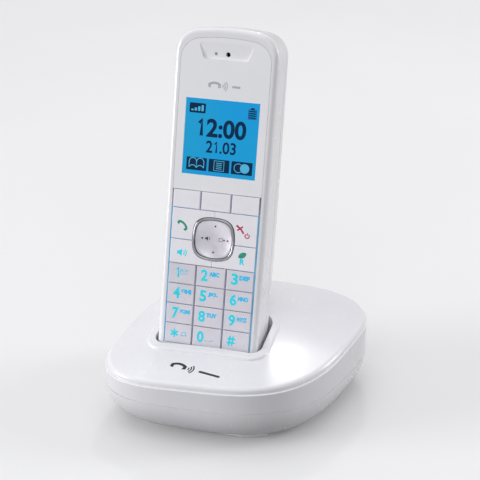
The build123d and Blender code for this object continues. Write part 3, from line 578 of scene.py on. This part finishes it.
def glowing(name, colours, strength, patch, sockets):
    """A material that gives off light of its own, in two shades that drift over its width in mm."""
    material = surface(name, ("#0d1a22", "#101f28"), (0.12, 0.2), patch, 0.3, 0.001, sockets)
    tree = material.node_tree
    shader = tree.nodes["Principled BSDF"]
    place = add(tree, "ShaderNodeTexCoord", {}, {})
    drift = add(tree, "ShaderNodeTexNoise", {}, {
        "Vector": place.outputs["Object"], "Scale": per_mm(patch), "Detail": 1.0})
    tint = add(tree, "ShaderNodeValToRGB", {}, {"Fac": drift.outputs["Fac"]})
    for stop, position, colour in zip(tint.color_ramp.elements, (0.3, 0.7), colours):
        stop.position = position
        stop.color = linear(colour)
    tree.links.new(tint.outputs["Color"], shader.inputs["Emission Color"])
    shader.inputs["Emission Strength"].default_value = strength
    return material


def lettering(text, bold, height, low_left=(0, 0), width=None):
    """Plain characters as flat print, height mm tall, with their lower left corner at low_left."""
    curve = bpy.data.curves.new("lettering", "FONT")
    curve.body = text
    curve.offset = bold
    curve.resolution_u = 4
    curve.extrude = 0.5
    mesh = as_mesh(curve)
    xs = [v.co.x for v in mesh.vertices]
    ys = [v.co.y for v in mesh.vertices]
    tall = height / (max(ys) - min(ys))
    wide = width / (max(xs) - min(xs)) if width else tall
    mesh.transform(
        Matrix.Translation((low_left[0], low_left[1], 0))
        @ Matrix.Diagonal((wide, tall, print_height, 1))
        @ Matrix.Translation((-min(xs), -min(ys), 0)))
    return mesh


def one(height, left, bottom, width):
    """A figure one with its flag, as two pen strokes whose outsides fit the height."""
    top = bottom + height - width / 2
    stem = left + height * 0.24
    return strokes(width, [(left + width / 2, top - height * 0.2), (stem, top), (stem, bottom + width / 4)])


def on_screen(name, meshes, material, lift=0.0):
    """Display content, drawn about the middle of the screen."""
    made = print_on(
        name, meshes, leaning(screen_u, screen_v, face), "display_glass", into,
        "handset", material)
    if lift:
        made.data.transform(Matrix.Translation(-into * lift * MM))
    return made


# Backlit liquid crystal: an even sky-blue field, a shade greener toward its lower right.
lcd_field = glowing("backlit_lcd_field", ("#149bdd", "#189fd4"), 0.9, 26, {"IOR": 1.3})
# Closed segments: near-black navy, since a little of the blue still leaks through them.
lcd_segment = glowing("closed_lcd_segment", ("#032c52", "#053058"), 0.6, 6, {"IOR": 1.2})
# Open segments inside a dark tile: the same blue, paler by contrast.
lcd_open = glowing("open_lcd_segment", ("#4fb4e0", "#55bbe2"), 0.85, 6, {"IOR": 1.52})
# Diffuser behind the display and the clear light pipe above it: polished clear polycarbonate.
clear_pc = surface(
    "clear_polycarbonate", ("#dde6ea", "#e8eff2"), (0.06, 0.12), 5, 1.0, 0.002,
    {"IOR": 1.585, "Transmission Weight": 0.6})
dress(lcd_field, "display_glass")
dress(clear_pc, "display_backlight", "call_light_guide")

tiles = [(-14.6, -5.5), (-4.6, 4.6), (5.5, 14.8)]
battery_bars = [rounded((11.6, y), (14.7, y + 0.62), 0.12) for y in (9.75, 10.65, 11.55, 12.45)]
on_screen("display_segments", [
    one(8.0, -10.7, 0.15, 1.5),
    lettering("2:00", 0.03, 8.0, (-6.6, 0.15), 17.6),
    lettering("2", 0.02, 5.2, (-6.3, -6.5), 2.9),
    one(5.2, -2.9, -6.5, 0.8),
    lettering(".03", 0.02, 5.2, (-0.2, -6.5), 7.2),
    filled(rounded((-14.7, 10.05), (-7.5, 14.25), 0.5)),
    filled(*battery_bars, rounded((12.3, 13.5), (14.0, 14.2), 0.2)),
    strokes(0.28, [(11.4, 9.5), (14.9, 9.5), (14.9, 13.4), (11.4, 13.4), (11.4, 9.5)]),
    filled(*[rounded((left, -14.55), (right, -9.0), 0.35) for left, right in tiles]),
], lcd_segment)
book_left = [(-3.3, -1.5)] + arc((-1.65, 0.9), 1.65, 180, 0, 8) + [(0, -1.7)]
book_left += arc((-1.65, -2.3), 1.7, 30, 150, 6)
book = [book_left + book_left[:1], [(-x, y) for x, y in book_left + book_left[:1]]]
page = [(-2.2, -2.1), (2.2, -2.1), (2.2, 2.1), (-2.2, 2.1), (-2.2, -2.1)]
middles = [((left + right) / 2, -11.78) for left, right in tiles]
on_screen("display_icons", [
    filled(*[rounded((-13.9 + 1.5 * i, 10.9), (-12.9 + 1.5 * i, 11.6 + 0.62 * i), 0.1) for i in range(4)]),
    strokes(0.36, *[turned(line, 0, middles[0]) for line in book]),
    strokes(0.34, turned(page, 0, middles[1])),
    strokes(0.3, *[turned([(-1.3, y), (1.3, y)], 0, middles[1]) for y in (-1.2, -0.4, 0.4, 1.2)]),
    strokes(0.3, turned(arc((-1.5, 0), 1.9, 35, 325, 16), 0, middles[2])),
    filled(turned(arc((1.3, 0), 2.05, 0, 345, 23), 0, middles[2])),
], lcd_open, lift=0.03)


# ==== Keypad light guides and mat ====
# Two clear strips stand along the borders of the keypad, lit by the board's blue diodes. Flat glowing
# strips lie under the gaps between its keys. Near the borders they are blue, where the backlight leaks
# out. By the middle they are pale lilac-grey, painted light that brightens the gaps' shade. Behind is the
# silicone mat.

strip_glow = glowing("lit_light_guide", ("#4d9fd2", "#7cc4ea"), 0.75, 9, {"IOR": 1.585})
silicone = surface(
    "moulded_silicone", ("#c9ccd0", "#d6d8db"), (0.45, 0.6), 5, 0.5, 0.01,
    {"IOR": 1.41, "Subsurface Weight": 0.2, "Subsurface Scale": 0.002})
dress(strip_glow, "keypad_light_strips")
dress(silicone, "keypad_mat")

digit_rows = (("key_1", "key_2", "key_3"), ("key_4", "key_5", "key_6"),
              ("key_7", "key_8", "key_9"), ("key_star", "key_0", "key_hash"))
strips_low, strips_high = extent("keypad_light_strips")
nav_low, nav_high = extent("nav_key")
nav_u = (nav_low[0] + nav_high[0]) / 2
nav_v = (nav_low[1] + nav_high[1]) / 2
ring_reach = (extent("nav_ring")[1][0] - extent("nav_ring")[0][0]) / 2


def fading(material, near, far, colours):
    """Turns a glowing material's tint from one colour at the keypad's middle to another beyond far mm."""
    tree = material.node_tree
    place = add(tree, "ShaderNodeTexCoord", {}, {})
    split = add(tree, "ShaderNodeSeparateXYZ", {}, {"Vector": place.outputs["Object"]})
    aside = add(tree, "ShaderNodeMath", {"operation": "SUBTRACT"}, {0: split.outputs["X"], 1: nav_u * MM})
    reach = add(tree, "ShaderNodeMath", {"operation": "ABSOLUTE"}, {0: aside.outputs["Value"]})
    share = add(tree, "ShaderNodeMapRange", {}, {
        "Value": reach.outputs["Value"], "From Min": near * MM, "From Max": far * MM})
    tint = add(tree, "ShaderNodeValToRGB", {}, {"Fac": share.outputs["Result"]})
    for stop, position, colour in zip(tint.color_ramp.elements, (0.0, 1.0), colours):
        stop.position = position
        stop.color = linear(colour)
    tree.links.new(tint.outputs["Color"], tree.nodes["Principled BSDF"].inputs["Emission Color"])


def gap_strip_tree():
    """Flat strips lying side by side under the gaps of the keypad, one every pitch."""
    tree, given, result = tree_with("gap_strips", {
        "Pitch": "Vector", "Count": "Int", "Size": "Vector", "Material": "Material"})
    row = add(tree, "GeometryNodeMeshLine", {"mode": "OFFSET"}, {
        "Count": given.outputs["Count"], "Offset": given.outputs["Pitch"]})
    strip = add(tree, "GeometryNodeMeshCube", {}, {"Size": given.outputs["Size"]})
    return spread(tree, given, result, row.outputs["Mesh"], strip.outputs["Mesh"])


# The gap strips glow on their own. Toward the borders they are blue, for the backlight that leaks there.
# By the middle they are lilac-grey, painted light that fills the shade between the keys.
backlight_and_painted_gap_glow = glowing("backlight_and_painted_gap_light", ("#9a9aaa", "#9a9aaa"), 0.75, 9, {"IOR": 1.585})
fading(backlight_and_painted_gap_glow, 5.5, 15.5, ("#9d9bab", "#63b0df"))
gap_tree = gap_strip_tree()
web_depth = face + 1.4
web_thickness = 0.5
web_clearance = 0.05
column_clearance = 0.15
border = 0.4


def gap_between(axis, first, second):
    """Middle and width of the gap between two neighbouring keys, across (0) or along (1) the handset."""
    near, far = extent(first)[1][axis], extent(second)[0][axis]
    return (near + far) / 2, far - near


def web(name, count, pitch, size, middle):
    """Strips of the web: pitch and size across and along the keypad in mm, middle the first one's place.

    Each is narrower than its gap, so that a pressed key passes it by."""
    strips = grown(
        gap_tree, Count=count, Pitch=(pitch[0], pitch[1], 0), Size=(size[0], size[1], web_thickness),
        Material=backlight_and_painted_gap_glow)
    strips.transform(leaning(middle[0], middle[1], web_depth))
    piece(name, strips, "handset")


keypad_width = strips_high[0] - strips_low[0] - 2 * border
row_top, row_gap = gap_between(1, "key_1", "speaker_key")
row_step = extent("key_4")[1][1] - extent("key_1")[1][1]
row_width = row_gap - 2 * web_clearance
first_column, column_gap = gap_between(0, "key_1", "key_2")
column_step = gap_between(0, "key_2", "key_3")[0] - first_column
column_width = column_gap - 2 * column_clearance
digits_foot = extent("key_0")[0][1]
web("gap_strips_rows", 4, (0, row_step), (keypad_width, row_width), (nav_u, row_top))
web("gap_strips_columns", 2, (column_step, 0), (column_width, row_top - digits_foot),
    (first_column, (row_top + digits_foot) / 2))
side_length = keypad_width / 2 - ring_reach - border
side_middle = ring_reach + border + side_length / 2
web("gap_strips_sides", 2, (2 * side_middle, 0), (side_length, row_width),
    (nav_u - side_middle, gap_between(1, "speaker_key", "talk_key")[0]))
soft_low, soft_high = extent("soft_key_left")
web("gap_strips_soft_row", 1, (0, 0), (keypad_width, row_width),
    (nav_u, gap_between(1, "talk_key", "soft_key_left")[0]))
web("gap_strips_soft_columns", 2, (column_step, 0), (column_width, soft_high[1] - soft_low[1]),
    (first_column, (soft_low[1] + soft_high[1]) / 2))


# ==== Keys ====
# Nineteen caps of milky polycarbonate, each on its own stem. Satin-moulded, so they glow softly
# lilac-grey; their legends are left clear in the paint and let the cyan light through.

key_white = surface(
    "satin_polycarbonate", ("#d9d6df", "#dfdce5"), (0.32, 0.42), 7, 0.25, 0.004,
    {"IOR": 1.585, "Coat Weight": 0.15, "Coat Roughness": 0.25})
key_pale = surface(
    "satin_polycarbonate_pale", ("#efedf4", "#f3f1f7"), (0.3, 0.4), 7, 0.25, 0.004,
    {"IOR": 1.585, "Coat Weight": 0.15, "Coat Roughness": 0.25})
# Lit legends: cyan light through a diffusing film. Coloured legends: opaque screen ink.
lit_legend = glowing("lit_legend_film", ("#20cade", "#2ed0e4"), 0.97, 4, {"IOR": 1.5})
lit_letters = glowing("lit_small_legend_film", ("#38b6e6", "#46bde8"), 0.95, 4, {"IOR": 1.5})
green_ink = surface("green_screen_ink", ("#1f8f78", "#28a086"), (0.4, 0.5), 1.5, 0.12, 0.003, {"IOR": 1.5})
crimson_ink = surface(
    "crimson_screen_ink", ("#b02a55", "#bf3562"), (0.4, 0.5), 1.5, 0.12, 0.003, {"IOR": 1.5})

dress(key_white, *[name for row in digit_rows for name in row])
dress(key_pale, "soft_key_left", "soft_key_middle", "soft_key_right",
      "talk_key", "off_key", "speaker_key", "recall_key")


def legend(key, meshes, material, suffix="legend", spot=(0, 0)):
    """Prints a legend on a key, drawn about the middle of its face."""
    low, high = extent(key)
    place = leaning((low[0] + high[0]) / 2 + spot[0], (low[1] + high[1]) / 2 + spot[1], low[2])
    return print_on(key + "_" + suffix, meshes, place, key, into, key, material)


star = [turned([(0, -1.9), (0, 1.9)], angle) for angle in (0, 60, 120)]
hash_lines = [[(-0.95, -2.2), (-0.45, 2.2)], [(0.45, -2.2), (0.95, 2.2)],
              [(-2.0, -0.85), (1.75, -0.85)], [(-1.75, 0.85), (2.0, 0.85)]]
envelope = [
    [(-1.5, -0.9), (1.5, -0.9), (1.5, 0.9), (-1.5, 0.9), (-1.5, -0.9)], [(-1.4, 0.8), (0, -0.2), (1.4, 0.8)]]
bell = [[(-1.5, -0.7), (1.5, -0.7)], [(-1.1, -0.6), (-0.8, 0.6), (0, 1.0), (0.8, 0.6), (1.1, -0.6)]]
small_letters = {
    "key_2": "ABC", "key_3": "DEF", "key_4": "GHI", "key_5": "JKL",
    "key_6": "MNO", "key_7": "PQRS", "key_8": "TUV", "key_9": "WXYZ"}
tray = [[(-1.5, -0.9), (-1.5, -1.6), (1.5, -1.6), (1.5, -0.9)]]


def moved(lines, aside, up=0.0):
    """Pen lines moved sideways and up."""
    return [[(x + aside, y + up) for x, y in line] for line in lines]


digit_height = 5.1
digit_width = 3.1
digit_bold = 0.035
figure_one_pen = 1.15
sign_pen = 0.78
fine_pen = 0.3
letter_height = 2.1
letter_width = 4.7
letter_rise = 0.8
letter_bold = 0.08
letters_from_digit = 3.6
rise_by_row = (0.6, 0.4, 0.2, 0.0)
start_by_column = (2.6, 1.9, 2.0)
for row, rise in zip(digit_rows, rise_by_row):
    for column, key in enumerate(row):
        spot = (0, rise)
        low, high = extent(key)
        left = start_by_column[column] - (high[0] - low[0]) / 2
        if key == "key_star":
            digit = strokes(sign_pen, *moved(star, left + 1.7))
        elif key == "key_hash":
            digit = strokes(sign_pen, *moved(hash_lines, left + 1.9))
        elif key == "key_1":
            digit = one(digit_height, left + 0.6, -digit_height / 2, figure_one_pen)
        else:
            digit = lettering(key[-1], digit_bold, digit_height, (left, -digit_height / 2), digit_width)
        legend(key, [digit], lit_legend, spot=spot)
        if key in small_letters:
            corner = (left + letters_from_digit, letter_rise - letter_height / 2)
            letters = lettering(small_letters[key], letter_bold, letter_height, corner, letter_width)
            legend(key, [letters], lit_letters, "letters", spot)
        if key == "key_1":
            legend(key, [strokes(fine_pen, *moved(envelope, left + 4.3, 0.3))], lit_letters, "letters", spot)
        if key == "key_star":
            legend(key, [strokes(fine_pen, *moved(bell, left + 6.0))], lit_letters, "bell", spot)
        if key == "key_0":
            legend(key, [strokes(fine_pen, *moved(tray, left + 5.5))], lit_letters, "letters", spot)


def outer_legend(key, meshes, material, u, v, suffix="legend"):
    """Prints a legend on one of the four keys beside the navigation key, placed from its middle."""
    place = leaning(nav_u + u, nav_v + v, face)
    return print_on(key + "_" + suffix, meshes, place, key, into, key, material)


outer_legend("talk_key", [filled(receiver(5.4, -42, (0, 0)))], green_ink, -14.1, 4.9)
outer_legend("off_key", [
    strokes(0.8, [(-3.0, 2.4), (-1.0, 0.9), (0.3, -0.9)]),
    strokes(0.7, [(-2.6, 0.3), (-0.2, 2.2)], [(-2.9, 1.7), (-2.7, 2.6)]),
    strokes(0.5, arc((1.9, -1.7), 0.95, 130, 410, 14), [(1.9, -0.4), (1.9, -1.5)]),
], crimson_ink, 13.0, 5.0)
outer_legend("speaker_key", [
    filled([(-2.0, -0.7), (-1.1, -0.7), (0.2, -1.7), (0.2, 1.7), (-1.1, 0.7), (-2.0, 0.7)]),
    strokes(0.45, arc((0.2, 0), 1.1, -50, 50, 6), arc((0.2, 0), 2.0, -50, 50, 8)),
], lit_legend, -14.0, -7.3)
leaf = arc((0, -1.2), 2.4, 150, 30, 10) + arc((0, 1.2), 2.4, -30, -150, 10)
outer_legend("recall_key", [
    filled(turned(leaf, 32, (0, 1.3))),
], green_ink, 13.4, -6.7, "leaf")
outer_legend("recall_key", [lettering("R", 0.05, 2.6, (-1.0, -1.3))], lit_legend, 13.4, -8.2)


# ==== Navigation key ====
# A dished rounded-square cap inside a bright ring. The cap is painted pearl silver over ABS, the
# ring is chrome-plated ABS, and below them a cross of two pins lets the cap rock four ways.

pearl = surface(
    "pearl_silver_paint", ("#dcd9e2", "#e6e3ec"), (0.3, 0.4), 5, 0.12, 0.004,
    {"Metallic": 0.6, "Coat Weight": 0.5, "Coat Roughness": 0.12})
chrome = surface(
    "chrome_plated_abs", ("#b9b9be", "#c6c6cb"), (0.06, 0.14), 3, 0.8, 0.001, {"Metallic": 1.0})
dress(pearl, "nav_key")
dress(chrome, "nav_ring")
dress(silicone, "nav_rocker")
print_on(
    "nav_key_marks",
    [
        filled(arc((0.4, 5.7), 0.42, 0, 330, 11)),
        filled(arc((0.1, -5.8), 0.42, 0, 330, 11)),
        filled([(-5.9, 0), (-4.9, 0.55), (-4.9, -0.55)]),
        filled([(-4.0, -0.35), (-3.5, -0.35), (-2.7, -0.95), (-2.7, 0.95), (-3.5, 0.35), (-4.0, 0.35)]),
        strokes(0.24, arc((-2.7, 0), 0.8, -45, 45, 5)),
        filled([(6.9, 0), (5.9, 0.55), (5.9, -0.55)]),
        strokes(0.24, [(2.3, -0.65), (3.9, -0.65), (3.9, 0.65), (2.3, 0.65), (2.3, -0.65)]),
        filled(arc((4.6, 0), 0.4, 0, 330, 11)),
    ],
    leaning(nav_u, nav_v, face), "nav_key", into, "nav_key", dark_ink)


# ==== Inside the handset ====
# The board carries the radio under its tinned can and the folded aerial; the ear receiver, the
# microphone and the ringer are small black and steel capsules held against the shells.

board_low, board_high = extent("handset_circuit_board")
parts_above_foot = 26
back_parts = grown(
    parts_tree, Width=26 * MM, Depth=34 * MM, Columns=11, Rows=13, Part=1.3 * MM, Seed=8, Material=part_epoxy)
board_middle = (board_low[0] + board_high[0]) / 2
on_back = leaning(board_middle, board_low[1] + parts_above_foot, board_high[2])
back_parts.transform(on_back @ Matrix.Scale(1 / MM, 4))
piece("handset_soldered_parts", back_parts, "handset")
dress(black_nylon, "ear_receiver", "ringer_speaker")
dress(tinplate, "microphone")

# Woven steel gauze behind the ear hole, dyed black, to keep dust out of the receiver.
gauze = surface(
    "blackened_steel_gauze", ("#0c0c0d", "#161617"), (0.4, 0.55), 1, 0.1, 0.003, {"Metallic": 0.6})
gauze_wires = 9
gauze_pitch = 0.3 * MM
gauze_before_receiver = 0.3
ear_hole_aside = 0.7
ear_hole_above_keys = 79.3
ear_hole = leaning(
    nav_u + ear_hole_aside, nav_v + ear_hole_above_keys,
    extent("ear_receiver")[0][2] - gauze_before_receiver) @ Matrix.Scale(1 / MM, 4)
for name, turn in (("upright", 0), ("level", 90)):
    wires = grown(
        bar_tree, Count=gauze_wires, Pitch=gauze_pitch, Length=2.6 * MM, Radius=0.07 * MM, Material=gauze)
    middled = Matrix.Translation((-(gauze_wires - 1) / 2 * gauze_pitch, 0, 0))
    wires.transform(Matrix.Rotation(math.radians(90), 4, "X") @ middled)
    wires.transform(Matrix.Rotation(math.radians(turn), 4, "Z"))
    wires.transform(ear_hole)
    piece("ear_gauze_" + name, wires, "handset")


# ==== Battery ====
# Two AAA nickel-metal-hydride cells in shrunk PVC sleeves, held between nickelled plates and
# pushed up by coil springs of plated steel wire.

def spring_tree():
    """Coil springs of round wire standing side by side."""
    tree, given, result = tree_with("coil_springs", {
        "Turns": "Float", "Radius": "Float", "Height": "Float", "Wire": "Float",
        "Spacing": "Float", "Material": "Material"})
    coil = add(tree, "GeometryNodeCurveSpiral", {}, {
        "Resolution": 28, "Rotations": given.outputs["Turns"], "Start Radius": given.outputs["Radius"],
        "End Radius": given.outputs["Radius"], "Height": given.outputs["Height"]})
    section = add(tree, "GeometryNodeCurvePrimitiveCircle", {}, {
        "Resolution": 10, "Radius": given.outputs["Wire"]})
    wire = add(tree, "GeometryNodeCurveToMesh", {}, {
        "Curve": coil.outputs["Curve"], "Profile Curve": section.outputs["Curve"], "Fill Caps": True})
    step = add(tree, "ShaderNodeCombineXYZ", {}, {"X": given.outputs["Spacing"]})
    pair = add(tree, "GeometryNodeMeshLine", {"mode": "OFFSET"}, {
        "Count": 2, "Offset": step.outputs["Vector"]})
    return spread(tree, given, result, pair.outputs["Mesh"], wire.outputs["Mesh"])


# Shrunk PVC sleeve: thin gloss green film, drawn tight with a faint orange peel.
sleeve = surface(
    "shrunk_pvc_sleeve", ("#2f8f4a", "#3a9c55"), (0.18, 0.28), 6, 0.8, 0.008,
    {"IOR": 1.54, "Coat Weight": 0.2})
dress(sleeve, "battery_cell_left", "battery_cell_right")
spring_low, spring_high = extent("battery_springs")
spring_radius = 2.75
spring_wire = 0.25
spring_reach = spring_radius + spring_wire
springs = grown(
    spring_tree(), Turns=3.5, Radius=spring_radius * MM,
    Height=(spring_high[1] - spring_low[1] - 2 * spring_wire) * MM, Wire=spring_wire * MM,
    Spacing=(spring_high[0] - spring_low[0] - 2 * spring_reach) * MM, Material=nickel)
stand = leaning(
    spring_low[0] + spring_reach, spring_low[1] + spring_wire, (spring_low[2] + spring_high[2]) / 2)
springs.transform(stand @ Matrix.Scale(1 / MM, 4) @ Matrix.Rotation(math.radians(-90), 4, "X"))
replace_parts(piece("battery_coils", springs, "handset"), "battery_springs")
white_ink = surface(
    "white_screen_ink", ("#e4e6e4", "#eef0ee"), (0.4, 0.5), 1.5, 0.12, 0.003, {"IOR": 1.5})
pole_height = 17.0
band_height = 13.4
band_half = 3.0
sign_half = 1.1
for side in ("left", "right"):
    cell = "battery_cell_" + side
    low, high = extent(cell)
    plus = [[(-sign_half, pole_height), (sign_half, pole_height)],
            [(0, pole_height - sign_half), (0, pole_height + sign_half)]]
    minus = [[(-sign_half, -pole_height), (sign_half, -pole_height)]]
    bands = [[(-band_half, height), (band_half, height)] for height in (band_height, -band_height)]
    back_face = Matrix.Rotation(math.radians(180), 4, "Y")
    print_on(
        cell + "_polarity", [strokes(0.6, *plus, *minus), strokes(0.9, *bands)],
        leaning((low[0] + high[0]) / 2, (low[1] + high[1]) / 2, high[2]) @ back_face,
        cell, -into, "handset", white_ink)


# ==== Rear case, battery cover and screws of the handset ====
# The back shell and its battery door are the same gloss ABS. The door slides off by a thumb
# groove with moulded ribs; two short self-tapping screws sit deep in wells above it.

dress(gloss_abs, "handset_rear_case", "battery_cover")
screws("handset_screws_cut", "handset_screws", 13 * MM, into, 1.9, 1.2, 0.85, 11.2, "handset")
cover_high = extent("battery_cover")[1]
ribs_below_edge = 15
ribs_sunk = 0.12
ribs = grown(bar_tree, Count=4, Pitch=1.7 * MM, Length=11 * MM, Radius=0.4 * MM, Material=gloss_abs)
ribs.transform(Matrix.Rotation(math.radians(90), 4, "X"))
ribs.transform(Matrix.Rotation(math.radians(90), 4, "Z"))
ribs_place = leaning(nav_u, cover_high[1] - ribs_below_edge, cover_high[2] - ribs_sunk)
ribs.transform(ribs_place @ Matrix.Scale(1 / MM, 4))
piece("cover_grip_ribs", ribs, "battery_cover")


# ==== Table and light ====
# Not part of the telephone: a pale satin table in a dim room, a large soft light overhead, a weak one
# high in front, one at the left, one at the right and behind, and a small round lamp for a highlight
# on the dome.

bpy.context.scene.view_settings.view_transform = "Standard"
table = surface("painted_table", ("#ebebeb", "#ededed"), (0.6, 0.7), 300, 2, 0.01, {"IOR": 1.45})
table_half = 6.0
table_mesh = bpy.data.meshes.new("table")
table_corners = ((-1, -1), (1, -1), (1, 1), (-1, 1))
table_mesh.from_pydata([(x * table_half, y * table_half, 0) for x, y in table_corners], [], [(0, 1, 2, 3)])
table_mesh.materials.append(table)
table_top = bpy.data.objects.new("table", table_mesh)
bpy.context.scene.collection.objects.link(table_top)
# The table shows in the gloss but throws no light back up, so the bowl under the base keeps its shade.
table_top.visible_diffuse = False

room = bpy.data.worlds.new("room")
bpy.context.scene.world = room
room.use_nodes = True
sky = room.node_tree
heading = add(sky, "ShaderNodeTexCoord", {}, {})
split = add(sky, "ShaderNodeSeparateXYZ", {}, {"Vector": heading.outputs["Generated"]})
height = add(sky, "ShaderNodeMapRange", {}, {
    "Value": split.outputs["Z"], "From Min": -1.0, "From Max": 1.0})
shade = add(sky, "ShaderNodeValToRGB", {}, {"Fac": height.outputs["Result"]})
room_greys = ((0.0, 0.10), (0.45, 0.20), (0.62, 0.42), (1.0, 0.75))
while len(shade.color_ramp.elements) < len(room_greys):
    shade.color_ramp.elements.new(0.5)
for stop, (position, grey) in zip(shade.color_ramp.elements, room_greys):
    stop.position = position
    stop.color = (grey, grey, grey * 1.03, 1.0)
sky.links.new(shade.outputs["Color"], sky.nodes["Background"].inputs["Color"])


def lamp(name, width, depth, power, place, target):
    """A soft area light at place, facing target. With no depth it is round."""
    light = bpy.data.lights.new(name, "AREA")
    light.shape = "RECTANGLE" if depth else "DISK"
    light.size = width
    if depth:
        light.size_y = depth
    light.energy = power
    made = bpy.data.objects.new(name, light)
    made.location = place
    made.rotation_euler = (Vector(target) - Vector(place)).to_track_quat("-Z", "Y").to_euler()
    bpy.context.scene.collection.objects.link(made)


lamp("overhead", 2.0, 2.0, 8.5, (-0.3, 0.2, 2.4), (0, 0, 0.05))
lamp("front_high", 1.2, 0.8, 4.5, (0.1, -1.7, 1.25), (0, 0, 0.1))
lamp("left_window", 1.0, 1.0, 38.0, (-2.1, -1.0, 0.42), (0, 0, 0.06))
lamp("right_window", 0.5, 1.4, 15.0, (1.7, 0.75, 0.5), (0, 0, 0.06))
highlight_from = Vector((25.4, -18.7, 33.8)) * MM
highlight_along = Vector((-0.127, 0.649, 0.75))
back_lamp_distance = 1.1
lamp("back_lamp", 0.11, 0, 0.8, highlight_from + highlight_along * back_lamp_distance, highlight_from)

camera = bpy.data.objects.new("camera", bpy.data.cameras.new("camera"))
camera.location = (0.1389, -0.4821, 0.3187)
camera.rotation_euler = (math.radians(64.5), 0, math.radians(16))
camera.data.lens = 95.9
camera.data.sensor_width = 36
bpy.context.scene.collection.objects.link(camera)
bpy.context.scene.camera = camera
